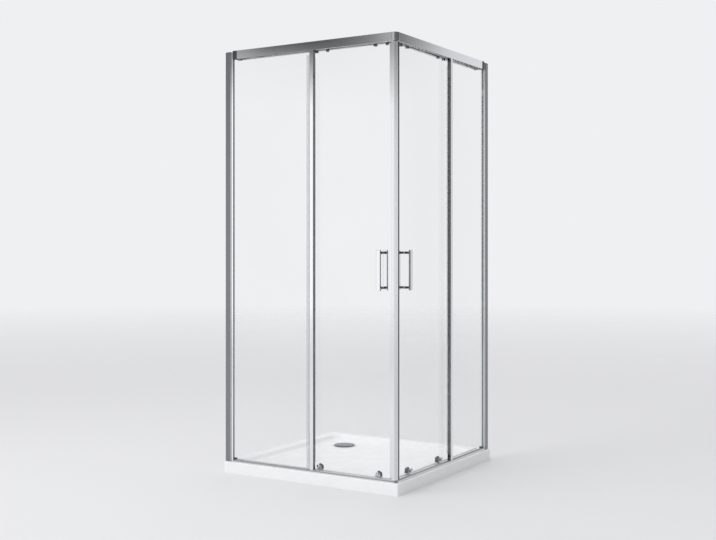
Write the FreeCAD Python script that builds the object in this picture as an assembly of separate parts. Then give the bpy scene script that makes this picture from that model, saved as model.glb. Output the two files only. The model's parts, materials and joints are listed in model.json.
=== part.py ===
"""Corner-entry shower enclosure: two fixed glass panels and two sliding glass doors on a square tray.

Row frame, in mm: +Z up, the origin on the floor under the middle of the square tray. The front
face looks along -Y and the side face along +X. They meet at the entry corner (+X, -Y). The two
walls of the room stand along the tray's -X and +Y edges.

Both faces are drawn in one face frame and then put in place:
  u  runs along the face, from the outer entry corner towards the room's wall
  v  runs inwards from the outer face of the frame
  z  is the height
"""
import FreeCAD, Part
import math
import os

Vector = FreeCAD.Vector

# ---------------------------------------------------------------- tray
tray_side = 900.0
tray_height = 50.0
tray_corner_radius = 8.0
tray_top_fillet = 3.0
entry_rim_width = 68.0         # rim under the doors and the fixed panels
wall_rim_width = 46.0          # rim along the walls of the room
basin_depth = 20.0             # from the rim down to the floor at the waste
basin_wall_run = 22.0          # how far the basin's wall leans in on its way down
basin_corner_radius = 55.0
floor_fall = 0.008             # rise of the floor for each mm away from the waste

# ---------------------------------------------------------------- waste
waste_from_wall = 200.0
waste_hole_radius = 45.0
flange_radius = 60.0
flange_thickness = 3.0
flange_seat_clearance = 0.3
waste_pipe_wall = 4.0
waste_pipe_bottom = 6.0        # height of the pipe's lower end over the floor of the room
waste_socket_wall = 2.5        # the pipe is thinner at its lower end, where the trap goes in
waste_socket_depth = 11.0
cover_radius = 52.0
cover_thickness = 3.0
cover_gap = 3.0                # slot for the water under the cover's edge
cover_leg_radius = 3.0
cover_leg_length = 14.0
cover_leg_count = 3

# ---------------------------------------------------------------- frame as a whole
frame_setback = 12.0           # from the tray's edge to the frame's outer face
frame_height = 1850.0          # from the tray's rim to the top of the rails
glass_thickness = 6.0
door_gap = 7.0                 # between the fixed glass's profile and the door glass
touch_gap = 0.3                # between soft or round pieces and what they nearly touch

# ---------------------------------------------------------------- top rail
rail_height = 37.0
rail_wall = 1.8
rail_edge_fillet = 1.0
channel_side = 2.0             # gasket between the fixed glass and the inner web
ledge_thickness = 2.0
ledge_outer_half = 4.5         # ledge from the middle of the rib towards the glass
axle_to_rail = 0.7             # between the axle's head and the rail's inner wall
rib_width = 2.0
rib_height = 2.2
mitre_gap = 0.3

# ---------------------------------------------------------------- corner
post_face = 25.0               # visible width of the corner post on each face
corner_chamfer = 12.0
connector_arm_length = 42.0
arm_clearance = 0.3

# ---------------------------------------------------------------- bottom rail
sill_base = 1.8
sill_wall_height = 8.0
sill_rib_height = 6.0

# ---------------------------------------------------------------- profiles at the wall
wall_profile_width = 27.0
wall_profile_depth = 20.0
profile_wall = 1.8
wall_hole_radius = 2.75
wall_hole_count = 4
wall_hole_first = 150.0        # height of the lowest hole over the tray's rim
wall_hole_pitch = 500.0
cap_thickness = 3.0
profile_below_top = 7.0        # wall profile ends this far under the rail's top
adjust_face_width = 12.0
adjust_lip = 2.5               # of the profile's face, beside the glass
adjust_body_length = 18.0
adjust_clearance = 0.3
gasket_wall = 0.8
glass_bite = 14.0              # how far the fixed glass goes into the adjusting profile

# ---------------------------------------------------------------- profile on the fixed glass
mid_profile_size = 18.0
mid_profile_v = 1.0
mid_glass_bite = 9.0
mid_position_front = 422.0     # middle of the profile from the entry corner
mid_position_side = 505.0
lip_thickness = 1.0
lip_notch = 30.0               # the lip stops this short of the rails, so that the bolts pass

# ---------------------------------------------------------------- rail brackets and feet
bracket_width = 24.0
bracket_tab_length = 11.0
bracket_tab_thickness = 2.5
bracket_glass_slot = 1.0       # clearance beside the glass
foot_length = 11.0
foot_height = 8.0
foot_heel = 5.2

# ---------------------------------------------------------------- doors
door_side_gap = 1.5            # between the door's profiles and the rails above and below
profile_face_v = 1.0           # outer face of the leading profile
lead_edge = 0.2                # leading profile starts this far past the chamfer's edge
lead_wall = 1.6
pocket_wall = 3.0
pocket_depth = 8.0
magnet_tongue = 2.6
magnet_tongue_width = 3.0
tongue_clearance = 0.1
door_overlap = 30.0            # door glass behind the fixed glass, past the profile's middle
trailing_wall = 1.5
trailing_bite = 6.0
trailing_end = 4.0
glass_top_below_rail_top = 12.0
glass_above_sill = 4.0

# ---------------------------------------------------------------- hanging carriages
carriage_u_front = (90.0, 385.0)
carriage_u_side = (113.0, 450.0)
plate_half_width = 36.0
plate_thickness = 3.0
plate_below_rail = 10.0
plate_above_axle = 10.0
plate_corner_radius = 8.0
plate_ear_half_width = 8.0     # the plate comes below the rail only at its bolts
bolt_half_spacing = 29.0
bolt_below_rail = 5.0
bolt_head_radius = 6.5
bolt_head_height = 3.0
bolt_sleeve_radius = 5.0
bolt_radius = 3.0
bolt_tip = 2.5
fit_clearance = 0.05           # running and clamped round fits, on the radius
wheel_radius = 11.0
wheel_width = 8.0
wheel_groove_depth = 2.0
wheel_groove_half_width = 1.3
wheel_groove_flare = 0.5
wheel_rib_gap = 0.2
axle_radius = 3.0
axle_shoulder_radius = 5.0
axle_head_radius = 4.5
axle_head_thickness = 1.2
axle_end_play = 0.3

# ---------------------------------------------------------------- bottom guides
guide_u_front = (110.0, 403.0)
guide_u_side = (173.0, 451.0)
guide_half_width = 11.5
guide_face_thickness = 2.0
guide_body_depth = 19.0
guide_wall = 2.5
guide_bottom_over_sill = 5.2
guide_shoulder = 13.0          # straight sides of the guide, under its arched top
guide_arch_rise = 8.5
guide_roof = 3.0
guide_screw_up = 16.5
guide_screw_radius = 2.5
guide_wheel_radius = 5.5
guide_wheel_width = 6.0
guide_groove_depth = 1.3
guide_axle_radius = 1.5
fork_half_width = 6.0
fork_side_clearance = 0.3
fork_top_thickness = 1.5
stem_radius = 3.0
stem_clearance = 0.1
knob_radius = 5.0
knob_height = 4.0
knob_gap = 0.3
spring_radius = 5.0
spring_bore_radius = 3.6

# ---------------------------------------------------------------- handles
handle_u_front = 86.0
handle_u_side = 119.0
handle_height = 870.0          # middle of the handle over the tray's rim
handle_width = 20.0
handle_thickness = 9.0
handle_length = 169.0
handle_spread = 58.0           # between the middles of the outer and the inner bar
handle_fillet = 1.0
stud_spacing = 146.0
stud_radius = 5.5
stud_rod_radius = 3.0
stud_hole_radius = 5.0
stud_rod_length = 14.0         # past the inner side of the glass

# ---------------------------------------------------------------- door stops
stop_length = 6.0
stop_height = 12.0
stop_half_width = 4.0
stop_gap = 0.5

# ---------------------------------------------------------------- frame screws
screw_radius = 2.0
screw_head_radius = 3.8
screw_head_height = 2.2
screw_depth = 8.0
connector_screw_u = (38.0, 56.0)
connector_screw_below_top = 16.0

# ---------------------------------------------------------------- levels and places that follow
rim_z = tray_height
rail_top = rim_z + frame_height
rail_bottom = rail_top - rail_height
sill_top = rim_z + sill_wall_height
ledge_top = rail_bottom + ledge_thickness
wall_u = tray_side - frame_setback
corner_x = tray_side / 2 - frame_setback
corner_y = -corner_x

fixed_glass_v = mid_profile_v + (mid_profile_size - glass_thickness) / 2
fixed_glass_in = fixed_glass_v + glass_thickness
glass_channel_v = fixed_glass_in + channel_side
adjust_face_v = fixed_glass_v - adjust_lip
adjust_face_depth = glass_thickness + adjust_lip * 2
foot_depth = glass_channel_v + rail_wall + foot_heel
lead_start = corner_chamfer + lead_edge
door_glass_v = mid_profile_v + mid_profile_size + door_gap
door_glass_in = door_glass_v + glass_thickness
door_mid_v = door_glass_v + glass_thickness / 2

guide_body_v0 = door_glass_in + guide_face_thickness
guide_body_v1 = guide_body_v0 + guide_body_depth
track_v = (guide_body_v0 + guide_body_v1) / 2      # middle of the running ribs, top and bottom
wheel_v0 = track_v - wheel_width / 2
wheel_v1 = track_v + wheel_width / 2
rail_depth = wheel_v1 + axle_end_play + axle_head_thickness + axle_to_rail + rail_wall

adjust_u = wall_u - wall_profile_width - adjust_face_width
adjust_shoulder_u = wall_u - wall_profile_width + adjust_clearance
bracket_u = adjust_u - bracket_width
foot_u = adjust_u - foot_length - adjust_clearance
sill_end_u = adjust_u - adjust_clearance

pocket_v0 = door_glass_v - pocket_wall
pocket_v1 = door_glass_in + pocket_wall
door_glass_u = pocket_v1 + mitre_gap + pocket_wall
pocket_u1 = door_glass_u + pocket_depth
door_bottom = sill_top + door_side_gap
door_top = rail_bottom - door_side_gap
door_glass_bottom = sill_top + glass_above_sill
door_glass_top = rail_top - glass_top_below_rail_top

groove_radius = wheel_radius - wheel_groove_depth
axle_z = ledge_top + rib_height + wheel_rib_gap + groove_radius
bolt_z = rail_bottom - bolt_below_rail
plate_v1 = door_glass_in + plate_thickness

sill_rib_top = rim_z + sill_rib_height
guide_groove_radius = guide_wheel_radius - guide_groove_depth
guide_axle_z = sill_rib_top + wheel_rib_gap + guide_groove_radius
guide_bottom = rim_z + sill_base + guide_bottom_over_sill
guide_shoulder_z = guide_bottom + guide_shoulder
guide_top = guide_shoulder_z + guide_arch_rise
guide_roof_z = guide_top - guide_roof
guide_screw_z = guide_bottom + guide_screw_up
fork_top = guide_axle_z + guide_wheel_radius + touch_gap + fork_top_thickness

handle_z = rim_z + handle_height
outer_bar_v = door_mid_v - handle_spread / 2
inner_bar_v = door_mid_v + handle_spread / 2


# ---------------------------------------------------------------- drawing helpers, in the face frame
def block(u0, u1, v0, v1, z0, z1):
    return Part.makeBox(u1 - u0, v1 - v0, z1 - z0, Vector(u0, v0, z0))


def prism(points, push):
    """A closed outline of corners, pushed along a vector."""
    return Part.Face(Part.makePolygon(points + points[:1])).extrude(push)


def along_u(outline_vz, u0, u1):
    return prism([Vector(u0, v, z) for v, z in outline_vz], Vector(u1 - u0, 0, 0))


def along_z(outline_uv, z0, z1):
    return prism([Vector(u, v, z0) for u, v in outline_uv], Vector(0, 0, z1 - z0))


def rod_v(u, z, radius, v0, v1):
    return Part.makeCylinder(radius, v1 - v0, Vector(u, v0, z), Vector(0, 1, 0))


def turned_v(u, z, outline_vr):
    """An outline of (v, radius) turned about the axis that runs along v through (u, z)."""
    points = [Vector(u, v, z + radius) for v, radius in outline_vr]
    face = Part.Face(Part.makePolygon(points + points[:1]))
    return face.revolve(Vector(u, 0, z), Vector(0, 1, 0), 360)


def turned_z(x, y, outline_rz):
    points = [Vector(x + radius, y, z) for radius, z in outline_rz]
    face = Part.Face(Part.makePolygon(points + points[:1]))
    return face.revolve(Vector(x, y, 0), Vector(0, 0, 1), 360)


def long_edges(shape, direction, length_over):
    """The straight edges that run along a direction and are longer than a length."""
    found = []
    for edge in shape.Edges:
        if isinstance(edge.Curve, Part.Line) and edge.Length > length_over:
            run = edge.Vertexes[1].Point - edge.Vertexes[0].Point
            if abs(run.dot(direction)) > 0.999 * edge.Length:
                found.append(edge)
    return found


def edges_at(shape, direction, length_over, v, z):
    """The long edges along a direction that lie at one v and z."""
    return [
        edge
        for edge in long_edges(shape, direction, length_over)
        if abs(edge.CenterOfMass.y - v) < 0.01 and abs(edge.CenterOfMass.z - z) < 0.01
    ]


def to_front(shape):
    """From the face frame to the front face: u runs along -X and v along +Y."""
    placed = shape.mirror(Vector(0, 0, 0), Vector(1, 0, 0))
    placed.translate(Vector(corner_x, corner_y, 0))
    return placed


def to_side(shape):
    """From the face frame to the side face: u runs along +Y and v along -X."""
    placed = shape.copy()
    placed.rotate(Vector(0, 0, 0), Vector(0, 0, 1), 90)
    placed.translate(Vector(corner_x, corner_y, 0))
    return placed


class Face:
    """One face of the enclosure, with its fixed panel and its door."""

    def __init__(self, name, place, mid_u, handle_u, carriages, guides):
        self.name = name
        self.place = place
        self.mid_u = mid_u
        self.handle_u = handle_u
        self.carriages = carriages
        self.guides = guides
        self.mid_near = mid_u - mid_profile_size / 2
        self.mid_far = mid_u + mid_profile_size / 2
        self.door_end = mid_u + door_overlap
        to_profile = self.mid_near - (handle_u + handle_width / 2)
        to_bracket = bracket_u - (self.door_end + trailing_end)
        self.travel = min(to_profile, to_bracket) - stop_gap * 2


front = Face("front", to_front, mid_position_front, handle_u_front, carriage_u_front, guide_u_front)
side = Face("side", to_side, mid_position_side, handle_u_side, carriage_u_side, guide_u_side)
faces = (front, side)


# ---------------------------------------------------------------- tray and waste
waste_x = -tray_side / 2 + waste_from_wall
waste_y = tray_side / 2 - waste_from_wall
waste_floor = tray_height - basin_depth
flange_seat = waste_floor - flange_thickness - flange_seat_clearance
waste_pipe_radius = waste_hole_radius - flange_seat_clearance
waste_bore_radius = waste_pipe_radius - waste_pipe_wall


def rounded_rectangle(x0, x1, y0, y1, radius, z):
    """A closed wire of four lines and four quarter circles."""
    corners = ((x1, y0, -90), (x1, y1, 0), (x0, y1, 90), (x0, y0, 180))
    arcs = []
    for x, y, start in corners:
        middle = Vector(
            x - math.copysign(radius, x - (x0 + x1) / 2),
            y - math.copysign(radius, y - (y0 + y1) / 2),
            z,
        )
        arcs.append(Part.makeCircle(radius, middle, Vector(0, 0, 1), start, start + 90))
    edges = []
    for i, arc in enumerate(arcs):
        following = arcs[(i + 1) % len(arcs)]
        edges.append(arc)
        edges.append(Part.makeLine(arc.Vertexes[-1].Point, following.Vertexes[0].Point))
    return Part.Wire(edges)


def shower_tray():
    half = tray_side / 2
    body = Part.makeBox(tray_side, tray_side, tray_height, Vector(-half, -half, 0))
    body = body.makeFillet(tray_corner_radius, long_edges(body, Vector(0, 0, 1), tray_height / 2))
    top_edges = [edge for edge in body.Edges if edge.BoundBox.ZMin > tray_height - 0.01]
    body = body.makeFillet(tray_top_fillet, top_edges)

    def basin_outline(inset, z):
        return rounded_rectangle(
            -half + wall_rim_width + inset, half - entry_rim_width - inset,
            -half + entry_rim_width + inset, half - wall_rim_width - inset,
            basin_corner_radius - inset, z,
        )

    walls = Part.makeLoft(
        [basin_outline(0, tray_height), basin_outline(basin_wall_run, waste_floor)], True, True
    )
    reach = tray_side * math.sqrt(2)
    above_floor = turned_z(waste_x, waste_y, [
        (0, waste_floor), (flange_radius, waste_floor),
        (flange_radius + reach, waste_floor + reach * floor_fall),
        (flange_radius + reach, tray_height * 2), (0, tray_height * 2),
    ])
    body = body.cut(walls.common(above_floor))
    seat = turned_z(waste_x, waste_y, [
        (0, -1), (waste_hole_radius, -1), (waste_hole_radius, flange_seat),
        (flange_radius + flange_seat_clearance, flange_seat),
        (flange_radius + flange_seat_clearance, tray_height), (0, tray_height),
    ])
    return body.cut(seat)


def drain_flange():
    socket_radius = waste_pipe_radius - waste_socket_wall
    socket_top = waste_pipe_bottom + waste_socket_depth
    return turned_z(waste_x, waste_y, [
        (socket_radius, waste_pipe_bottom), (waste_pipe_radius, waste_pipe_bottom),
        (waste_pipe_radius, flange_seat), (flange_radius, flange_seat),
        (flange_radius, flange_seat + flange_thickness),
        (waste_bore_radius, flange_seat + flange_thickness),
        (waste_bore_radius, socket_top), (socket_radius, socket_top),
    ])


def drain_cover():
    under = flange_seat + flange_thickness + cover_gap
    disc = turned_z(waste_x, waste_y, [
        (0, under), (cover_radius - 1, under), (cover_radius, under + 1),
        (cover_radius - 2, under + cover_thickness), (0, under + cover_thickness),
    ])
    leg_circle = waste_bore_radius - cover_leg_radius - flange_seat_clearance
    foot_radius = cover_leg_radius + waste_pipe_wall
    for i in range(cover_leg_count):
        turn = 2 * math.pi * i / cover_leg_count
        x = waste_x + leg_circle * math.cos(turn)
        y = waste_y + leg_circle * math.sin(turn)
        leg = Part.makeCylinder(cover_leg_radius, cover_leg_length, Vector(x, y, under - cover_leg_length))
        foot = Part.makeCylinder(foot_radius, cover_gap, Vector(x, y, under - cover_gap))
        disc = disc.fuse([leg, foot])
    return disc.removeSplitter()


# ---------------------------------------------------------------- rails
def mitred(shape, start_u):
    """Cut a rail along the corner's diagonal, and off before start_u."""
    far = rail_depth * 2
    beyond = along_z(
        [(-far, -far), (start_u, -far), (start_u, start_u - mitre_gap / 2),
         (far + mitre_gap / 2, far), (-far, far)],
        0, rail_top * 2,
    )
    return shape.cut(beyond)


def top_rail():
    web = glass_channel_v + rail_wall
    roof = rail_top - rail_wall
    ledge_v = track_v - ledge_outer_half
    inner = rail_depth - rail_wall
    rib0, rib1 = track_v - rib_width / 2, track_v + rib_width / 2
    rib_top = ledge_top + rib_height
    section = [
        (0, rail_bottom), (0, rail_top), (rail_depth, rail_top), (rail_depth, rail_bottom),
        (ledge_v, rail_bottom), (ledge_v, ledge_top), (rib0, ledge_top), (rib0, rib_top),
        (rib1, rib_top), (rib1, ledge_top), (inner, ledge_top), (inner, roof), (web, roof),
        (web, rail_bottom), (glass_channel_v, rail_bottom), (glass_channel_v, roof),
        (rail_wall, roof), (rail_wall, rail_bottom),
    ]
    rail = along_u(section, 0, bracket_u)
    outer_edges = [
        edge
        for v, z in ((0, rail_top), (rail_depth, rail_top))
        for edge in edges_at(rail, Vector(1, 0, 0), rail_depth, v, z)
    ]
    rail = rail.makeFillet(rail_edge_fillet, outer_edges)
    rail = mitred(rail, post_face)
    for u in connector_screw_u:
        rail = rail.cut(rod_v(u, rail_top - connector_screw_below_top, screw_radius + fit_clearance,
                              glass_channel_v - 1, web + 1))
    return rail


def bottom_rail():
    web = glass_channel_v + rail_wall
    base = rim_z + sill_base
    rib0, rib1 = track_v - rib_width / 2, track_v + rib_width / 2
    section = [
        (0, rim_z), (0, sill_top), (rail_wall, sill_top), (rail_wall, base),
        (glass_channel_v, base), (glass_channel_v, sill_top), (web, sill_top), (web, base),
        (rib0, base), (rib0, sill_rib_top), (rib1, sill_rib_top), (rib1, base),
        (rail_depth, base), (rail_depth, rim_z),
    ]
    return mitred(along_u(section, 0, sill_end_u), corner_chamfer)


def corner_connector():
    outline = [
        (corner_chamfer, 0), (post_face, 0), (post_face, post_face), (0, post_face),
        (0, corner_chamfer),
    ]
    post = along_z(outline, rail_bottom, rail_top)
    upper_edges = [edge for edge in post.Edges if edge.BoundBox.ZMin > rail_top - 0.01]
    post = post.makeFillet(rail_edge_fillet, upper_edges)
    near = rail_wall + arm_clearance
    far = glass_channel_v - arm_clearance
    low = rail_bottom + rail_wall
    high = rail_top - rail_wall - arm_clearance
    inside = post_face - rail_wall
    end = post_face + connector_arm_length
    arms = [block(inside, end, near, far, low, high), block(near, far, inside, end, low, high)]
    post = post.fuse(arms)
    level = rail_top - connector_screw_below_top
    for u in connector_screw_u:
        bore = rod_v(u, level, screw_radius, far - screw_depth, far + 1)
        other = Part.makeCylinder(screw_radius, screw_depth + 1, Vector(far - screw_depth, u, level),
                                  Vector(1, 0, 0))
        post = post.cut([bore, other])
    return post.removeSplitter()


def screw(u, v_seat, z, depth):
    """A pan-head screw whose head sits on a face at v_seat and whose shank runs outwards."""
    return turned_v(u, z, [
        (v_seat - depth, 0), (v_seat - depth, screw_radius), (v_seat, screw_radius),
        (v_seat, screw_head_radius), (v_seat + screw_head_height * 0.6, screw_head_radius),
        (v_seat + screw_head_height, screw_head_radius * 0.6), (v_seat + screw_head_height, 0),
    ])


def frame_screws():
    web = glass_channel_v + rail_wall
    level = rail_top - connector_screw_below_top
    depth = screw_depth + rail_wall - arm_clearance
    tab = adjust_face_v + adjust_face_depth + bracket_tab_thickness
    set_of_screws = [screw(u, web, level, depth) for u in connector_screw_u]
    set_of_screws.append(screw(adjust_u + bracket_tab_length / 2, tab, level,
                               bracket_tab_thickness + profile_wall - adjust_clearance))
    return set_of_screws


# ---------------------------------------------------------------- profiles at the wall
def wall_profile():
    channel = along_z([
        (wall_u - wall_profile_width, 0), (wall_u, 0), (wall_u, wall_profile_depth),
        (wall_u - wall_profile_width, wall_profile_depth),
        (wall_u - wall_profile_width, wall_profile_depth - profile_wall),
        (wall_u - profile_wall, wall_profile_depth - profile_wall),
        (wall_u - profile_wall, profile_wall), (wall_u - wall_profile_width, profile_wall),
    ], rim_z, rail_top - profile_below_top)
    for i in range(wall_hole_count):
        z = rim_z + wall_hole_first + i * wall_hole_pitch
        hole = Part.makeCylinder(wall_hole_radius, profile_wall * 3,
                                 Vector(wall_u - profile_wall * 2, wall_profile_depth / 2, z),
                                 Vector(1, 0, 0))
        channel = channel.cut(hole)
    return channel


def adjust_profile():
    body_v0 = profile_wall + adjust_clearance
    body_v1 = wall_profile_depth - body_v0
    face_v1 = adjust_face_v + adjust_face_depth
    body_end = adjust_shoulder_u + adjust_body_length
    low, high = rim_z, rail_top - profile_below_top
    solid = along_z([
        (adjust_u, adjust_face_v), (adjust_shoulder_u, adjust_face_v), (adjust_shoulder_u, body_v0),
        (body_end, body_v0), (body_end, body_v1), (adjust_shoulder_u, body_v1),
        (adjust_shoulder_u, face_v1), (adjust_u, face_v1),
    ], low, high)
    pocket_end = adjust_u + glass_bite + gasket_wall
    pocket = block(adjust_u - 1, pocket_end, fixed_glass_v - gasket_wall, fixed_glass_in + gasket_wall,
                   low - 1, high + 1)
    hollow = block(pocket_end + profile_wall, body_end - profile_wall, body_v0 + profile_wall,
                   body_v1 - profile_wall, low - 1, high + 1)
    hole = rod_v(adjust_u + bracket_tab_length / 2, rail_top - connector_screw_below_top,
                 screw_radius, fixed_glass_in, face_v1 + 1)
    return solid.cut([pocket, hollow, hole])


def profile_cap():
    z = rail_top - profile_below_top
    cap = block(wall_u - wall_profile_width, wall_u, 0, wall_profile_depth, z, z + cap_thickness)
    upper = [edge for edge in cap.Edges if edge.BoundBox.ZMin > z + cap_thickness - 0.01]
    return cap.makeFillet(cap_thickness / 3, upper)


def rail_bracket():
    """End block of the top rail, with a tab that is screwed to the adjusting profile."""
    body = block(bracket_u, adjust_u, 0, rail_depth, rail_bottom, rail_top)
    upper = [edge for edge in body.Edges if edge.BoundBox.ZMin > rail_top - 0.01]
    body = body.makeFillet(rail_edge_fillet, upper)
    tab_v = adjust_face_v + adjust_face_depth
    tab = block(adjust_u - 1, adjust_u + bracket_tab_length, tab_v, tab_v + bracket_tab_thickness,
                rail_bottom + rail_wall, rail_top - profile_below_top)
    body = body.fuse(tab)
    slot = block(bracket_u - 1, adjust_u + 1, fixed_glass_v - bracket_glass_slot,
                 fixed_glass_in + bracket_glass_slot, rail_bottom - 1, fixed_glass_top + bracket_glass_slot)
    hole = rod_v(adjust_u + bracket_tab_length / 2, rail_top - connector_screw_below_top,
                 screw_radius + fit_clearance, tab_v - 1, tab_v + bracket_tab_thickness + 1)
    return body.cut([slot, hole])


def foot_bracket():
    """Small block at the foot of the fixed glass, between the glass and the sill's web."""
    heel_v = glass_channel_v + rail_wall
    return along_u([
        (fixed_glass_in + bracket_glass_slot, sill_top), (heel_v, sill_top), (heel_v, rim_z + sill_base),
        (foot_depth, rim_z + sill_base), (foot_depth, sill_top + foot_height),
        (fixed_glass_in + bracket_glass_slot, sill_top + foot_height),
    ], foot_u, foot_u + foot_length)


# ---------------------------------------------------------------- fixed panel
fixed_glass_bottom = rim_z + sill_base + gasket_wall
fixed_glass_top = rail_top - rail_wall - 8.0


def fixed_glass(face):
    glass_end = adjust_u + glass_bite
    return block(face.mid_far - mid_glass_bite, glass_end, fixed_glass_v, fixed_glass_in,
                 fixed_glass_bottom, fixed_glass_top)


def mid_profile(face):
    """Square tube on the free edge of the fixed glass, with a pocket for the glass."""
    v0, v1 = mid_profile_v, mid_profile_v + mid_profile_size
    tube = block(face.mid_near, face.mid_far, v0, v1, sill_top, rail_bottom)
    corners = long_edges(tube, Vector(0, 0, 1), mid_profile_size * 2)
    tube = tube.makeFillet(rail_edge_fillet, corners)
    pocket_u = face.mid_far - mid_glass_bite
    pocket = block(pocket_u, face.mid_far + 1, fixed_glass_v, fixed_glass_in, sill_top - 1, rail_bottom + 1)
    hollow = block(face.mid_near + profile_wall, pocket_u - profile_wall, v0 + profile_wall,
                   v1 - profile_wall, sill_top - 1, rail_bottom + 1)
    return tube.cut([pocket, hollow])


def lip_seal(face):
    """Soft fin on the inner side of the fixed profile, which wipes the door glass."""
    v0 = mid_profile_v + mid_profile_size
    u0 = face.mid_near + profile_wall
    return along_z([
        (u0, v0), (u0 + 5 * lip_thickness, v0), (u0 + 5 * lip_thickness, v0 + lip_thickness),
        (u0 + 3 * lip_thickness, v0 + lip_thickness), (u0 + lip_thickness, door_glass_v - touch_gap),
        (u0, door_glass_v - touch_gap), (u0 + 2 * lip_thickness, v0 + lip_thickness),
        (u0, v0 + lip_thickness),
    ], sill_top + lip_notch, rail_bottom - lip_notch)


def channel_gasket(face, seat_z, closed_z):
    """U-shaped strip that fills the glass channel of a rail around the edge of the fixed glass."""
    strip = block(face.mid_far, foot_u, rail_wall, glass_channel_v, min(seat_z, closed_z),
                  max(seat_z, closed_z))
    glass = block(face.mid_far - 1, adjust_u, fixed_glass_v, fixed_glass_in,
                  fixed_glass_bottom, fixed_glass_top)
    return strip.cut(glass)


def glass_gaskets(face):
    lower = channel_gasket(face, sill_top, rim_z + sill_base)
    upper = channel_gasket(face, rail_bottom, fixed_glass_top + gasket_wall)
    end = block(bracket_u, adjust_u, 0, rail_depth, rail_bottom - 1, rail_top)
    return [lower, upper.cut(end)]


# ---------------------------------------------------------------- doors
def cross_holes(places, radius):
    """Rods through the door glass at places (u, z), to cut its holes."""
    return [rod_v(u, z, radius, door_glass_v - 1, door_glass_in + 1) for u, z in places]


def carriage_bolt_places(face):
    return [(u + s * bolt_half_spacing, bolt_z) for u in face.carriages for s in (-1, 1)]


def guide_screw_places(face):
    return [(u, guide_screw_z) for u in face.guides]


def stud_places(face):
    return [(face.handle_u, handle_z + s * stud_spacing / 2) for s in (-1, 1)]


def door_glass(face):
    pane = block(door_glass_u, face.door_end, door_glass_v, door_glass_in,
                 door_glass_bottom, door_glass_top)
    holes = cross_holes(carriage_bolt_places(face) + guide_screw_places(face),
                        bolt_sleeve_radius + fit_clearance)
    return pane.cut(holes + cross_holes(stud_places(face), stud_hole_radius))


def lead_profile():
    """Hollow profile on the door's leading edge: a visible face, a slanted back and a glass pocket."""
    slant = mitre_gap
    outline = [
        (lead_start, profile_face_v), (post_face, profile_face_v), (post_face, pocket_v0),
        (pocket_u1, pocket_v0), (pocket_u1, pocket_v1), (pocket_v1 + slant, pocket_v1),
        (lead_start, lead_start - slant),
    ]
    inner_slant = slant + lead_wall * math.sqrt(2)
    near, far = lead_start + lead_wall, post_face - lead_wall
    face_in = profile_face_v + lead_wall
    hollow = [(near, face_in), (far, face_in), (far, far - inner_slant), (near, near - inner_slant)]
    body = along_z(outline, door_bottom, door_top)
    front_edges = [
        edge
        for edge in long_edges(body, Vector(0, 0, 1), post_face * 2)
        if abs(edge.CenterOfMass.x - post_face) < 0.01 and edge.CenterOfMass.y < post_face / 2
    ]
    body = body.makeFillet(rail_edge_fillet, front_edges)
    pocket = block(door_glass_u, pocket_u1 + 1, door_glass_v, door_glass_in, door_bottom - 1, door_top + 1)
    tongue_v0, tongue_v1 = magnet_tongue_span()
    slot = block(lead_start - 1, near + 1, tongue_v0 - tongue_clearance, tongue_v1 + tongue_clearance,
                 door_bottom - 1, door_top + 1)
    return body.cut([along_z(hollow, door_bottom - 1, door_top + 1), pocket, slot])


def magnet_tongue_span():
    middle = (profile_face_v + lead_start) / 2
    return middle - magnet_tongue_width / 2, middle + magnet_tongue_width / 2


def magnet_strip():
    """Strip of the magnetic closure: it makes half of the corner's slanted face."""
    line = lead_start + profile_face_v
    tip = [(lead_start, profile_face_v), ((line + mitre_gap) / 2, (line - mitre_gap) / 2),
           (lead_start, lead_start - mitre_gap)]
    tongue_v0, tongue_v1 = magnet_tongue_span()
    tongue = block(lead_start - 1, lead_start + magnet_tongue, tongue_v0, tongue_v1, door_bottom, door_top)
    return along_z(tip, door_bottom, door_top).fuse(tongue).removeSplitter()


def trailing_seal(face):
    """Channel on the door's trailing edge, with a fin that wipes the fixed glass."""
    u0 = face.door_end - trailing_bite
    u1 = face.door_end + trailing_wall
    v0, v1 = door_glass_v - trailing_wall, door_glass_in + trailing_wall
    fin_v = fixed_glass_in + touch_gap
    outline = [
        (u0, v0), (face.door_end - 1, v0), (face.door_end + trailing_end - 1, fin_v),
        (face.door_end + trailing_end, fin_v), (u1, v0 + trailing_wall), (u1, v1), (u0, v1),
        (u0, door_glass_in), (face.door_end, door_glass_in), (face.door_end, door_glass_v),
        (u0, door_glass_v),
    ]
    return along_z(outline, door_glass_bottom, door_top - lip_notch / 2)


def handle_bars(face):
    left, right = face.handle_u - handle_width / 2, face.handle_u + handle_width / 2
    bars = []
    for v in (outer_bar_v, inner_bar_v):
        bar = block(left, right, v - handle_thickness / 2, v + handle_thickness / 2,
                    handle_z - handle_length / 2, handle_z + handle_length / 2)
        bars.append(bar.makeFillet(handle_fillet, bar.Edges))
    return bars


def handle_studs(face):
    """Outer studs with a threaded rod through the glass, and sleeves on the inner side."""
    pieces = []
    outer_seat = outer_bar_v + handle_thickness / 2
    inner_seat = inner_bar_v - handle_thickness / 2
    rod_end = door_glass_in + stud_rod_length
    for u, z in stud_places(face):
        pieces.append(turned_v(u, z, [
            (outer_seat, 0), (outer_seat, stud_radius), (door_glass_v, stud_radius),
            (door_glass_v, stud_rod_radius), (rod_end, stud_rod_radius), (rod_end, 0),
        ]))
        bore = stud_rod_radius + fit_clearance
        pieces.append(turned_v(u, z, [
            (door_glass_in, bore), (door_glass_in, stud_radius), (inner_seat, stud_radius),
            (inner_seat, 0), (rod_end + 1, 0), (rod_end + 1, bore),
        ]))
    return pieces


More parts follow.
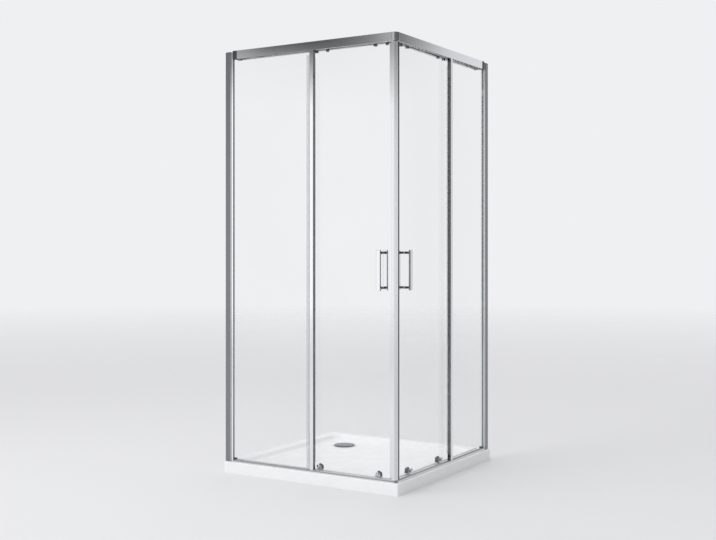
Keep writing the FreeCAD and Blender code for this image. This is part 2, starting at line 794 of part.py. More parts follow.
# ---------------------------------------------------------------- hanging carriages
def carriage_plate(u):
    low = rail_bottom - plate_below_rail
    high = axle_z + plate_above_axle
    plate = block(u - plate_half_width, u + plate_half_width, door_glass_in, plate_v1, low, high)
    plate = plate.makeFillet(plate_corner_radius, long_edges(plate, Vector(0, 1, 0), plate_thickness / 2))
    holes = [rod_v(u + s * bolt_half_spacing, bolt_z, bolt_radius + fit_clearance,
                   door_glass_in - 1, plate_v1 + 1) for s in (-1, 1)]
    holes.append(rod_v(u, axle_z, axle_radius + fit_clearance, door_glass_in - 1, plate_v1 + 1))
    notch = bolt_half_spacing - plate_ear_half_width
    holes.append(block(u - notch, u + notch, door_glass_in - 1, plate_v1 + 1, low - 1, rail_bottom + 1))
    return plate.cut(holes)


def carriage_bolt(u, z):
    head = door_glass_v - bolt_head_height
    tip = plate_v1 + bolt_tip
    return turned_v(u, z, [
        (head, 0), (head, bolt_head_radius * 0.7), (head + bolt_head_height * 0.5, bolt_head_radius),
        (door_glass_v, bolt_head_radius), (door_glass_v, bolt_sleeve_radius),
        (door_glass_in, bolt_sleeve_radius), (door_glass_in, bolt_radius), (tip, bolt_radius), (tip, 0),
    ])


def axle_pin(u):
    shoulder_end = wheel_v0 - axle_end_play
    head_start = wheel_v1 + axle_end_play
    return turned_v(u, axle_z, [
        (door_glass_in + fit_clearance, 0), (door_glass_in + fit_clearance, axle_radius),
        (plate_v1, axle_radius), (plate_v1, axle_shoulder_radius), (shoulder_end, axle_shoulder_radius),
        (shoulder_end, axle_radius), (head_start, axle_radius), (head_start, axle_head_radius),
        (head_start + axle_head_thickness, axle_head_radius), (head_start + axle_head_thickness, 0),
    ])


def grooved_wheel(u, z, radius, width, groove_depth, bore):
    v0, v1 = track_v - width / 2, track_v + width / 2
    half = wheel_groove_half_width
    flare = half + wheel_groove_flare
    return turned_v(u, z, [
        (v0, bore), (v0, radius), (track_v - flare, radius), (track_v - half, radius - groove_depth),
        (track_v + half, radius - groove_depth), (track_v + flare, radius), (v1, radius), (v1, bore),
    ])


def top_wheel(u):
    return grooved_wheel(u, axle_z, wheel_radius, wheel_width, wheel_groove_depth,
                         axle_radius + fit_clearance)


# ---------------------------------------------------------------- bottom guides
def guide_outline(u, v, low):
    """Face of a guide: straight sides and an arched top."""
    left, right = u - guide_half_width, u + guide_half_width
    sides = [Vector(left, v, guide_shoulder_z), Vector(left, v, low), Vector(right, v, low),
             Vector(right, v, guide_shoulder_z)]
    arch = Part.Arc(sides[3], Vector(u, v, guide_top), sides[0]).toShape()
    lines = [Part.makeLine(sides[i], sides[i + 1]) for i in range(3)]
    return Part.Face(Part.Wire(lines + [arch]))


def guide_face(u):
    plate = guide_outline(u, door_glass_in, guide_bottom).extrude(Vector(0, guide_face_thickness, 0))
    return plate.cut(rod_v(u, guide_screw_z, guide_screw_radius + fit_clearance,
                           door_glass_in - 1, guide_body_v0 + 1))


def guide_housing(u):
    body = guide_outline(u, guide_body_v0, guide_bottom).extrude(Vector(0, guide_body_depth, 0))
    cavity = block(u - guide_half_width + guide_wall * 2, u + guide_half_width - guide_wall * 2,
                   guide_body_v0 + guide_wall, guide_body_v1 - guide_wall,
                   guide_bottom - 1, guide_roof_z)
    stem_hole = Part.makeCylinder(stem_radius + stem_clearance, guide_top, Vector(u, track_v, guide_bottom))
    screw_hole = rod_v(u, guide_screw_z, guide_screw_radius, guide_body_v0 - 1,
                       guide_body_v0 + guide_wall - fit_clearance)
    seat = Part.makeCylinder(knob_radius + knob_gap, guide_top, Vector(u, track_v, guide_top - 1))
    return body.cut([cavity, stem_hole, screw_hole, seat])


def guide_screw(u):
    head = door_glass_v - bolt_head_height
    tip = guide_body_v0 + guide_wall - fit_clearance
    return turned_v(u, guide_screw_z, [
        (head, 0), (head, bolt_head_radius * 0.7), (head + bolt_head_height * 0.5, bolt_head_radius),
        (door_glass_v, bolt_head_radius), (door_glass_v, bolt_sleeve_radius),
        (door_glass_in, bolt_sleeve_radius), (door_glass_in, guide_screw_radius),
        (tip, guide_screw_radius), (tip, 0),
    ])


def release_knob(u):
    """Fork that carries the guide wheel, its axle, and the knob on its stem over the housing."""
    v0 = guide_body_v0 + guide_wall + fork_side_clearance
    v1 = guide_body_v1 - guide_wall - fork_side_clearance
    low = guide_axle_z - guide_wheel_radius * 0.5
    fork = block(u - fork_half_width, u + fork_half_width, v0, v1, low, fork_top)
    wheel_v = guide_wheel_width / 2 + axle_end_play
    slot = block(u - fork_half_width - 1, u + fork_half_width + 1, track_v - wheel_v, track_v + wheel_v,
                 low - 1, fork_top - fork_top_thickness)
    axle_hole = rod_v(u, guide_axle_z, guide_axle_radius, v0 - 1, v1 + 1)
    knob_low = guide_top - 1 + knob_gap
    stem = Part.makeCylinder(stem_radius, knob_low - fork_top + 1, Vector(u, track_v, fork_top - 1))
    carrier = fork.cut([slot, axle_hole]).fuse(stem)
    knob = Part.makeCylinder(knob_radius, knob_height, Vector(u, track_v, knob_low))
    knob = knob.makeFillet(1.0, [edge for edge in knob.Edges if edge.BoundBox.ZMin > knob_low + 1])
    axle = rod_v(u, guide_axle_z, guide_axle_radius, v0, v1)
    return [carrier.fuse(knob).removeSplitter(), axle]


def guide_wheel(u):
    return grooved_wheel(u, guide_axle_z, guide_wheel_radius, guide_wheel_width, guide_groove_depth,
                         guide_axle_radius + fit_clearance)


def knob_spring(u):
    """Space that the coil spring fills around the stem, between the fork and the roof."""
    low, high = fork_top + touch_gap / 3, guide_roof_z - touch_gap / 3
    outer = Part.makeCylinder(spring_radius, high - low, Vector(u, track_v, low))
    return outer.cut(Part.makeCylinder(spring_bore_radius, high - low, Vector(u, track_v, low)))


# ---------------------------------------------------------------- stops in the top rail
def door_stops(face):
    """Rubber blocks over the running rib, before the first wheel and behind the last one."""
    first = face.carriages[0] - wheel_radius - stop_gap
    last = face.carriages[-1] + face.travel + wheel_radius + stop_gap
    stops = []
    for u0 in (first - stop_length, last):
        rubber = block(u0, u0 + stop_length, track_v - stop_half_width, track_v + stop_half_width,
                       ledge_top, ledge_top + stop_height)
        over_rib = block(u0 - 1, u0 + stop_length + 1, track_v - rib_width / 2, track_v + rib_width / 2,
                         ledge_top - 1, ledge_top + rib_height)
        stops.append(rubber.cut(over_rib))
    return stops


# ---------------------------------------------------------------- writing the pieces
os.makedirs("parts", exist_ok=True)


def save(node, solids):
    """Write one node, a single solid or a group of alike ones, as parts/NODE.step."""
    for number, solid in enumerate(solids):
        if len(solid.Solids) != 1 or not solid.isValid() or solid.Volume <= 0:
            raise ValueError(f"{node} piece {number} is not one closed solid")
    shape = solids[0] if len(solids) == 1 else Part.makeCompound(solids)
    shape.exportStep(f"parts/{node}.step")
    print(node, len(solids), "solids", round(sum(s.Volume for s in solids) / 1000, 2), "cm3")


def both(make):
    """One piece on each face, or a list of pieces on each."""
    placed = []
    for face in faces:
        made = make(face)
        pieces = made if isinstance(made, list) else [made]
        placed += [face.place(piece) for piece in pieces]
    return placed


save("shower_tray", [shower_tray()])
save("drain_flange", [drain_flange()])
save("drain_cover", [drain_cover()])
save("wall_profiles", both(lambda face: wall_profile()))
save("adjust_profiles", both(lambda face: adjust_profile()))
save("profile_caps", both(lambda face: profile_cap()))
save("rail_brackets", both(lambda face: rail_bracket()))
save("foot_brackets", both(lambda face: foot_bracket()))
save("corner_connector", [to_front(corner_connector())])
save("frame_screws", both(lambda face: frame_screws()))
save("mid_profiles", both(mid_profile))
save("lip_seals", both(lip_seal))
save("glass_gaskets", both(glass_gaskets))
save("door_stops", both(door_stops))

for face in faces:
    def put(node, pieces):
        save(f"{node}_{face.name}", [face.place(piece) for piece in pieces])

    put("top_rail", [top_rail()])
    put("bottom_rail", [bottom_rail()])
    put("fixed_glass", [fixed_glass(face)])
    put("door_glass", [door_glass(face)])
    put("lead_profile", [lead_profile()])
    put("magnet_strip", [magnet_strip()])
    put("trailing_seal", [trailing_seal(face)])
    put("handle_bars", handle_bars(face))
    put("handle_studs", handle_studs(face))
    put("carriage_plates", [carriage_plate(u) for u in face.carriages])
    put("carriage_bolts", [carriage_bolt(u, z) for u, z in carriage_bolt_places(face)])
    put("axle_pins", [axle_pin(u) for u in face.carriages])
    put("guide_faces", [guide_face(u) for u in face.guides])
    put("guide_housings", [guide_housing(u) for u in face.guides])
    put("guide_screws", [guide_screw(u) for u in face.guides])
    for letter, u in zip("ab", face.carriages):
        put(f"top_wheel_{letter}", [top_wheel(u)])
    for letter, u in zip("ab", face.guides):
        put(f"release_knob_{letter}", release_knob(u))
        put(f"guide_wheel_{letter}", [guide_wheel(u)])
        put(f"knob_spring_{letter}", [knob_spring(u)])
    print(face.name, "door travel", round(face.travel, 2), "mm")

print("wheel axles at z", round(axle_z, 3), "and", round(guide_axle_z, 3),
      "rolling radii", groove_radius, guide_groove_radius)
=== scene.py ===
# %% [markdown]
# # A corner shower enclosure with two sliding doors
# The construction model already holds every piece in its true place, so this lesson is about looks.
# It loads that model as a fixed frame, gives each piece its finish, and swaps the pieces whose real
# surface has more detail for finer ones, made in the same place.

# %% Load the construction model
import json
import math
import bmesh
import bpy
from mathutils import Matrix, Vector

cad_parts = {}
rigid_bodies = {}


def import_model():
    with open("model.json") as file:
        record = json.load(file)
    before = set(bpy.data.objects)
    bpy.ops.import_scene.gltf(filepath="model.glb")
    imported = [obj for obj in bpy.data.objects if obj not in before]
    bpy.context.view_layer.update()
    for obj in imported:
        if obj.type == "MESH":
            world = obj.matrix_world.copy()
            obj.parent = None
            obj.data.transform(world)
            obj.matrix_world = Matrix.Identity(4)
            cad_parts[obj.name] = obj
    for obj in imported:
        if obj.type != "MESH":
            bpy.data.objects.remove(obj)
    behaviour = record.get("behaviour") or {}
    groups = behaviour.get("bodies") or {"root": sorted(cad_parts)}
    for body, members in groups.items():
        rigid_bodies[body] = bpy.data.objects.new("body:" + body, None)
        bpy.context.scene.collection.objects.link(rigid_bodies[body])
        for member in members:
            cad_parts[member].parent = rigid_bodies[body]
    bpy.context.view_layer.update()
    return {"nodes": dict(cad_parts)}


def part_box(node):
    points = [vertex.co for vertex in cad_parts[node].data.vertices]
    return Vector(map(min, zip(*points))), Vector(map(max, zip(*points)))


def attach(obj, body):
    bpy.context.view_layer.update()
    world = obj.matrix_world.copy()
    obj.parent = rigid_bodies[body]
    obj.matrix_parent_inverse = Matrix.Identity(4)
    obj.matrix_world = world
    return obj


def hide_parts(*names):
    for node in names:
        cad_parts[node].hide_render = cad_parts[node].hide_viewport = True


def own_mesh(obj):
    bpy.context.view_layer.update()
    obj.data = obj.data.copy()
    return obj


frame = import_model()
nodes = frame["nodes"]


def rounded(values):
    return [round(x, 3) for x in values]


# %% [markdown]
# ## One drawing board for both faces
# The front and the side of the enclosure are mirror images in how they are built, so each piece is
# drawn once, in millimetres, on a drawing board: u runs along the face from the entry corner, v
# runs inwards from the frame's outer face, and z is the height. A matrix puts the drawing in place.
# The front's matrix mirrors the shape, which turns its faces inside out, so every new mesh has its
# normals recalculated after it is placed.

# %% Matrices that place a drawing
mm = 0.001
corner_x, corner_y = 0.438, -0.438
frame_corner = Vector((corner_x, corner_y, 0))
place_room = Matrix.Diagonal((mm, mm, mm, 1))
places = {
    "front": Matrix(((-mm, 0, 0, corner_x), (0, mm, 0, corner_y), (0, 0, mm, 0), (0, 0, 0, 1))),
    "side": Matrix(((0, -mm, 0, corner_x), (mm, 0, 0, corner_y), (0, 0, mm, 0), (0, 0, 0, 1))),
}
outward = {"front": Vector((0, -1, 0)), "side": Vector((1, 0, 0))}
rail_top, tray_top = 1900.0, 50.0
print("the frame is", rail_top - tray_top, "mm high over the tray")

# %% [markdown]
# ## Measuring on the drawing board
# A finer piece has to sit where the construction model has the plain one, so its place is measured
# there and not typed in again. The box of a node goes back through the face's matrix and comes out
# in u, v and z. The model's round pieces are many-sided, so the figures are rounded to 0.1 mm.

# %% Helper: a node's box and its middle on the board
def box_on_board(name, face_name):
    corners = [places[face_name].inverted() @ Vector(corner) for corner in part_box(name)]
    pairs = list(zip(*corners))
    return [round(min(pair), 1) for pair in pairs], [round(max(pair), 1) for pair in pairs]


def middle_on_board(name, face_name):
    low, high = box_on_board(name, face_name)
    return [round((a + b) / 2, 1) for a, b in zip(low, high)]


print("first hanging wheel at", middle_on_board("top_wheel_a_front", "front"))

# %% [markdown]
# ## From a bmesh to a piece that rides on its body
# Each piece ends the same way: place it, merge what lies double, turn the normals outwards, and
# mark the edges that stay sharp. A Weighted Normal modifier then keeps the flat faces flat and lets
# only the narrow rounded edges catch the light, as they do on real metal and plastic.

# %% Helper: finish a piece
merge_distance = 2e-6


def make_piece(shape, name, body, finishes, stands_for=(), place=place_room, sharp_over=40):
    bmesh.ops.transform(shape, matrix=place, verts=shape.verts)
    bmesh.ops.remove_doubles(shape, verts=shape.verts, dist=merge_distance)
    bmesh.ops.recalc_face_normals(shape, faces=shape.faces)
    mesh = bpy.data.meshes.new(name)
    shape.to_mesh(mesh)
    shape.free()
    piece = bpy.data.objects.new(name, mesh)
    bpy.context.scene.collection.objects.link(piece)
    for finish in finishes:
        mesh.materials.append(finish)
    for polygon in mesh.polygons:
        polygon.use_smooth = True
    mesh.set_sharp_from_angle(angle=math.radians(sharp_over))
    even = piece.modifiers.new("even_normals", "WEIGHTED_NORMAL")
    even.keep_sharp = True
    even.weight = 80
    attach(piece, body)
    if stands_for:
        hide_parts(*stands_for)
    return piece


# %% [markdown]
# ## The camera
# The photograph was taken at chest height with a normal lens, level, so that upright edges stay
# upright. A level camera with a small vertical shift gives the same picture.

# %% Camera
camera_data = bpy.data.cameras.new("chest_height_camera")
camera_data.lens = 53.68
camera_data.sensor_width = 36
camera_data.shift_y = -0.0324
camera = bpy.data.objects.new("chest_height_camera", camera_data)
camera.location = (2.588, -4.2406, 1.0176)
level, turned_left = 90, 31.56
camera.rotation_euler = (math.radians(level), 0, math.radians(turned_left))
bpy.context.scene.collection.objects.link(camera)
bpy.context.scene.camera = camera
print("camera at", rounded(camera.location))

# %% [markdown]
# ## Small helpers for node trees
# Every finish and the world are node trees. Each node has to be made, set and linked, so a few
# helpers keep the recipes short.

# %% Helpers: make, set and link nodes
def plug(tree, value, socket):
    """Set a socket to a number, or link it to another node's output."""
    if isinstance(value, (int, float)):
        socket.default_value = value
    else:
        tree.links.new(value, socket)


def add_node(tree, kind, **settings):
    """A new node: a setting is one of its properties, or one of its sockets, with _ for a space."""
    node = tree.nodes.new(kind)
    for key, value in settings.items():
        if hasattr(node, key):
            setattr(node, key, value)
        else:
            node.inputs[key.replace("_", " ")].default_value = value
    return node


def math_step(tree, operation, *values):
    node = add_node(tree, "ShaderNodeMath", operation=operation)
    for socket, value in zip(node.inputs, values):
        plug(tree, value, socket)
    return node.outputs[0]


def climb(tree, source, low, high, at_low=0.0, at_high=1.0):
    """One value below low, another above high, and a straight climb between them."""
    ramp = add_node(tree, "ShaderNodeMapRange", From_Min=low, From_Max=high, To_Min=at_low, To_Max=at_high)
    plug(tree, source, ramp.inputs["Value"])
    return ramp.outputs[0]


def colour_steps(tree, source, stops):
    """A colour for each position from 0 to 1, blended in between."""
    ramp = tree.nodes.new("ShaderNodeValToRGB")
    elements = ramp.color_ramp.elements
    elements[0].position, elements[-1].position = stops[0][0], stops[-1][0]
    for position, colour in stops[1:-1]:
        elements.new(position)
    for element, (position, colour) in zip(elements, stops):
        element.color = (*colour, 1)
    plug(tree, source, ramp.inputs[0])
    return ramp.outputs[0]


def blend_colours(tree, share, first, second):
    mix = add_node(tree, "ShaderNodeMix", data_type="RGBA")
    for name, value in (("Factor", share), ("A", first), ("B", second)):
        plug(tree, value, mix.inputs[name])
    return mix.outputs["Result"]


def mix_shaders(tree, share, first, second):
    """The first shader, with this share of the second one."""
    mix = tree.nodes.new("ShaderNodeMixShader")
    for socket, value in zip(mix.inputs, (share, first, second)):
        plug(tree, value, socket)
    return mix.outputs[0]


# %% [markdown]
# ## The studio
# Polished metal shows nothing but what it mirrors. A room of one even white would make it look like
# paper, so the world has bright zones with dark ones between them, as a studio has soft boxes and
# dark cards. An image of a real room could do this too, but steps of grey by compass heading are
# easier to place. Headings are in degrees: 0 is in front of the enclosure, 90 to its right.
#
# A flat face mirrors only a narrow piece of the room, so some steps are a degree or two wide. Seen
# from the camera, the front's faces mirror the headings from -39 at their far end to -29 at the
# corner, the corner post's slanted face about 60, and the side's faces 150 at the corner to 155 at
# their far end. The side faces of the upright profiles mirror about -27 and 146.

# %% World: the heading and height of a ray
world = bpy.data.worlds.new("studio")
bpy.context.scene.world = world
world.use_nodes = True
sky = world.node_tree
sky.nodes.clear()
split = sky.nodes.new("ShaderNodeSeparateXYZ")
plug(sky, sky.nodes.new("ShaderNodeTexCoord").outputs["Generated"], split.inputs[0])
height = split.outputs["Z"]
forwards = math_step(sky, "MULTIPLY", split.outputs["Y"], -1)
heading = math_step(sky, "ARCTAN2", split.outputs["X"], forwards)
heading = math_step(sky, "ADD", math_step(sky, "DIVIDE", heading, 2 * math.pi), 0.5)


def around_the_room(stops):
    """Brightness by heading in degrees, in a slightly cool white."""
    cool_white = (0.985, 0.99, 1.012)
    return colour_steps(sky, heading, [((angle + 180) / 360, tuple(value * part for part in cool_white))
                                       for angle, value in stops])


def plain_colour(red, green, blue):
    colour = sky.nodes.new("ShaderNodeRGB").outputs[0]
    colour.default_value = (red, green, blue, 1)
    return colour


# %% World: what metal mirrors
eye_level = around_the_room([
    (-180, 0.85), (-150, 0.85), (-115, 0.22), (-50, 0.20), (-43, 1.05), (-29.55, 1.05), (-29.15, 0.12),
    (-27.6, 0.12), (-27.4, 0.90), (-25.8, 0.90), (-25.6, 0.12), (-12, 0.12), (0, 0.5), (20, 0.85), (40, 0.95),
    (62, 0.97), (80, 0.6), (110, 0.2), (143.5, 0.22), (144.4, 0.85), (147, 0.85), (148, 0.10), (150.1, 0.08),
    (150.4, 0.80), (151.2, 0.62), (153, 0.66), (155, 0.80), (180, 0.85)])
above_eyes = around_the_room([
    (-180, 0.8), (-150, 0.8), (-120, 0.25), (-60, 0.4), (-38.6, 0.30), (-38.0, 0.28), (-37.7, 0.12),
    (-33, 0.09), (-31.5, 0.19), (-29.9, 0.27), (-29.8, 0.50), (-29.55, 0.50), (-29.15, 0.10), (-27.6, 0.10),
    (-27.4, 0.80), (-25.8, 0.80), (-25.6, 0.10), (-24, 0.12), (-18, 0.5), (12, 0.5), (35, 0.16), (60, 0.12),
    (143.5, 0.12), (144.4, 0.8), (147, 0.8), (148, 0.14), (150.5, 0.17), (151.3, 0.27), (153.2, 0.68),
    (155.3, 0.80), (180, 0.8)])
sides_of_room = blend_colours(sky, climb(sky, height, 0.130, 0.186), eye_level, above_eyes)
ceiling = plain_colour(0.72, 0.73, 0.75)
mirrored_room = blend_colours(sky, climb(sky, height, 0.30, 0.60), sides_of_room, ceiling)

# %% [markdown]
# ### Three skies in one
# A Light Path node tells which ray asks. A mirrored ray sees the room of steps above, the camera
# sees an even pale backdrop, and all other rays, which light the tray and the floor, see a soft
# room that is bright in front on the left and under a bright ceiling.

# %% World: what lights the rest, and the backdrop
lamp_room = around_the_room([
    (-180, 0.80), (-120, 0.95), (-60, 1.05), (-20, 1.05), (20, 0.92), (55, 0.26), (90, 0.06), (130, 0.06),
    (160, 0.6), (180, 0.80)])
bright_ceiling = plain_colour(1.03, 1.03, 1.04)
lighting_room = blend_colours(sky, climb(sky, height, 0.35, 0.80), lamp_room, bright_ceiling)
backdrop = plain_colour(0.865, 0.87, 0.88)
skies = []
for colour in (lighting_room, backdrop, mirrored_room):
    background = sky.nodes.new("ShaderNodeBackground")
    plug(sky, colour, background.inputs["Color"])
    skies.append(background.outputs[0])
rays = sky.nodes.new("ShaderNodeLightPath")
to_camera = mix_shaders(sky, rays.outputs["Is Camera Ray"], skies[0], skies[1])
all_rays = mix_shaders(sky, rays.outputs["Is Glossy Ray"], to_camera, skies[2])
plug(sky, all_rays, sky.nodes.new("ShaderNodeOutputWorld").inputs[0])
bpy.context.scene.view_settings.view_transform = "Standard"
print("nodes in the world", len(sky.nodes))

# %% [markdown]
# ### Soft lights
# Two large round lamps add the soft shadow under the tray and the rails. Metal doesn't mirror them,
# because what it mirrors is already laid out in the world.

# %% Soft lights
def soft_light(name, place, aim, size, watts):
    data = bpy.data.lights.new(name, "AREA")
    data.shape = "DISK"
    data.size = size
    data.energy = watts
    lamp = bpy.data.objects.new(name, data)
    lamp.location = place
    lamp.rotation_euler = (Vector(aim) - Vector(place)).to_track_quat("-Z", "Y").to_euler()
    lamp.visible_glossy = False
    bpy.context.scene.collection.objects.link(lamp)


soft_light("key_light", (-1.2, -2.6, 3.6), (0, 0, 0.6), 2.4, 36)
soft_light("fill_light", (3.2, -0.4, 2.6), (0, 0, 0.8), 2.0, 3)
print("lamps", len(bpy.data.lights))

# %% [markdown]
# ### The floor
# The floor is a large pale disc. Its rim would draw a hard line across the picture, so the paint
# turns transparent far from the enclosure, and only a soft horizon is left.

# %% Floor
floor_radius, fade_from, fade_to = 18, 3.0, 14.0
disc = bmesh.new()
bmesh.ops.create_circle(disc, cap_ends=True, segments=96, radius=floor_radius)
floor_mesh = bpy.data.meshes.new("pale_floor")
disc.to_mesh(floor_mesh)
disc.free()
floor = bpy.data.objects.new("pale_floor", floor_mesh)
bpy.context.scene.collection.objects.link(floor)
floor_finish = bpy.data.materials.new("pale_floor")
floor_finish.use_nodes = True
tree = floor_finish.node_tree
paint = tree.nodes["Principled BSDF"]
paint.inputs["Base Color"].default_value = (0.77, 0.77, 0.78, 1)
paint.inputs["Roughness"].default_value = 0.7
distance = add_node(tree, "ShaderNodeVectorMath", operation="LENGTH")
plug(tree, tree.nodes.new("ShaderNodeTexCoord").outputs["Object"], distance.inputs[0])
faded = climb(tree, distance.outputs["Value"], fade_from, fade_to)
nothing = tree.nodes.new("ShaderNodeBsdfTransparent").outputs[0]
plug(tree, mix_shaders(tree, faded, paint.outputs[0], nothing), tree.nodes["Material Output"].inputs[0])
floor_mesh.materials.append(floor_finish)
print("the floor fades out from", fade_from, "to", fade_to, "m")

# %% [markdown]
# ## Finishes
# Each finish is one node tree that reads Object coordinates. A noise texture, stretched along the
# piece for drawn metal, gives a little colour, roughness and bump. Real surfaces are never quite
# even, and that small unevenness is what keeps a render from looking like plain paint.

# %% Helper: one finish with a noise behind its colour, roughness and bump
noise_low, noise_high = 0.3, 0.7


def make_finish(name, colours, roughnesses, scale, bump=0.02, metallic=0.0, detail=4.0, coat=0.0,
                bump_distance=0.0002):
    finish = bpy.data.materials.new(name)
    finish.use_nodes = True
    tree = finish.node_tree
    shader = tree.nodes["Principled BSDF"]
    stretch = add_node(tree, "ShaderNodeMapping", Scale=scale if isinstance(scale, tuple) else (scale,) * 3)
    plug(tree, tree.nodes.new("ShaderNodeTexCoord").outputs["Object"], stretch.inputs["Vector"])
    noise = add_node(tree, "ShaderNodeTexNoise", Scale=1.0, Detail=detail, Roughness=0.6)
    plug(tree, stretch.outputs[0], noise.inputs["Vector"])
    wave = noise.outputs["Fac"]
    colour = colour_steps(tree, wave, [(noise_low, colours[0]), (noise_high, colours[1])])
    plug(tree, colour, shader.inputs["Base Color"])
    plug(tree, climb(tree, wave, noise_low, noise_high, *roughnesses), shader.inputs["Roughness"])
    relief = add_node(tree, "ShaderNodeBump", Strength=bump, Distance=bump_distance)
    plug(tree, wave, relief.inputs["Height"])
    plug(tree, relief.outputs[0], shader.inputs["Normal"])
    shader.inputs["Metallic"].default_value = metallic
    shader.inputs["Coat Weight"].default_value = coat
    return finish


# %% [markdown]
# ### Drawn and anodised profiles
# The profiles are aluminium, drawn through a die, so they have fine lines along their length. The
# noise is stretched along that way: three waves a metre along the piece and nine hundred across it.
# One finish would do for all, if it knew which way a piece runs, but a separate one for each way
# is simpler to read.
#
# Some narrow side faces of the real profiles look dark, because they mirror something dark. Here that
# dark reflection is painted: these faces get a dark grey of their own, so they look dark from every
# side. Inside a rail the metal isn't polished and stays pale.

# %% Drawn metal
lines = {"x": (3.0, 900.0, 900.0), "y": (900.0, 3.0, 900.0), "z": (900.0, 900.0, 3.0)}
bright = ((0.87, 0.875, 0.885), (0.92, 0.923, 0.93))
inner = ((0.80, 0.803, 0.81), (0.87, 0.873, 0.88))
# painted shade: the grey of the sills' line, standing for the shadowed slot along their top
sill_shade_grey = ((0.40, 0.405, 0.415), (0.48, 0.485, 0.495))
satin = ((0.25, 0.255, 0.265), (0.31, 0.315, 0.325))
# painted dark reflection: the dark grey that side faces get in place of mirroring something dark
painted_dark_reflection = ((0.15, 0.153, 0.16), (0.20, 0.203, 0.212))


def drawn_metal(name, colours, roughnesses, way, metallic=1.0):
    return make_finish(name, colours, roughnesses, lines[way], 0.03, metallic, detail=2.0)


bright_upright = drawn_metal("bright_aluminium_upright", bright, (0.03, 0.07), "z")
satin_upright = drawn_metal("satin_aluminium_upright", satin, (0.24, 0.34), "z")
# side faces that mirror something dark get this painted dark reflection
upright_with_painted_reflection = drawn_metal("aluminium_upright_painted_dark_reflection", painted_dark_reflection, (0.06, 0.12), "z")
bright_rail, inner_rail, sill_satin_painted_shade = {}, {}, {}
for face_name, way in (("front", "x"), ("side", "y")):
    bright_rail[face_name] = drawn_metal(f"bright_aluminium_{face_name}_rail", bright, (0.03, 0.06), way)
    inner_rail[face_name] = drawn_metal(f"inner_aluminium_{face_name}_rail", inner, (0.30, 0.45), way, 0.45)
    # the sill's grey line is painted shade
    sill_satin_painted_shade[face_name] = drawn_metal(f"satin_aluminium_{face_name}_sill", sill_shade_grey, (0.22, 0.34), way)
print("drawn metals", [m.name for m in bpy.data.materials if "aluminium" in m.name])

# %% [markdown]
# ### Plated, pressed and turned metal
# Chrome plate is almost a mirror. Pressed steel and burnished metal scatter the light more, which is
# a higher roughness, and their noise is fine and the same in all directions.

# %% Other metals
plain_aluminium = make_finish("plain_aluminium", ((0.80, 0.805, 0.81), (0.87, 0.875, 0.88)),
                              (0.35, 0.50), 300, 0.03, 0.2)
chrome = make_finish("chrome_plate", ((0.86, 0.87, 0.88), (0.90, 0.91, 0.92)),
                     (0.02, 0.05), 220, 0.01, 1.0)
dark_chrome = make_finish("dark_chrome_plate", ((0.20, 0.205, 0.215), (0.26, 0.265, 0.275)),
                          (0.10, 0.18), 300, 0.02, 1.0)
# painted dark reflection: a darker grey chrome for the handle bars' narrow side faces
chrome_with_painted_reflection = make_finish("chrome_plate_painted_dark_reflection", ((0.40, 0.405, 0.415), (0.46, 0.465, 0.475)),
                            (0.06, 0.10), 300, 0.02, 1.0)
grey_steel = make_finish("grey_pressed_steel", ((0.50, 0.505, 0.515), (0.60, 0.605, 0.615)),
                         (0.30, 0.42), 400, 0.03, 0.4)
dark_metal = make_finish("dark_burnished_metal", ((0.045, 0.047, 0.052), (0.075, 0.078, 0.084)),
                         (0.28, 0.40), 600, 0.05, 0.9)
stainless = make_finish("stainless_steel", ((0.55, 0.56, 0.57), (0.64, 0.65, 0.66)),
                        (0.18, 0.30), 500, 0.04, 1.0)
print("metals and the floor", len(bpy.data.materials))

# %% [markdown]
# ### Plastics, rubber and the tray
# Moulded plastic has a fine grain from its mould, and rubber a coarser and duller one. The tray is
# glossy white: its waves are wide and shallow, with a thin clear coat over them.

# %% Plastics, rubber and the tray
dark_plastic = make_finish("dark_moulded_plastic", ((0.030, 0.031, 0.034), (0.050, 0.052, 0.056)),
                           (0.35, 0.50), 1500, 0.15)
black_rubber = make_finish("black_rubber", ((0.018, 0.018, 0.019), (0.032, 0.032, 0.034)),
                           (0.65, 0.80), 1200, 0.25)
magnet_grey = make_finish("light_magnet_strip", ((0.78, 0.785, 0.795), (0.83, 0.833, 0.84)),
                          (0.12, 0.20), (700, 700, 8), 0.04, 0.93)
nylon = make_finish("white_nylon", ((0.78, 0.78, 0.76), (0.86, 0.86, 0.84)), (0.35, 0.50), 900, 0.08)
tray_white = make_finish("glossy_white_tray", ((0.93, 0.932, 0.935), (0.955, 0.957, 0.96)),
                         (0.16, 0.26), 14, 0.02, detail=6.0, coat=0.25, bump_distance=0.0005)
print("and plastics", len(bpy.data.materials))

# %% [markdown]
# ### Glass
# A pane is flat and clear, so the eye sees straight through it, plus a faint mirror image that grows
# at a low angle. A Transparent shader mixed with a Glossy one does just that, and lets the lamps
# light what is behind the glass, which a refracting shader does slowly and with noise. The edge of a
# pane is another thing: there the eye looks through the whole width of the glass, and it is green.

# %% Clear glass
def lighter(colour, step):
    return tuple(min(1, part + step) for part in colour)


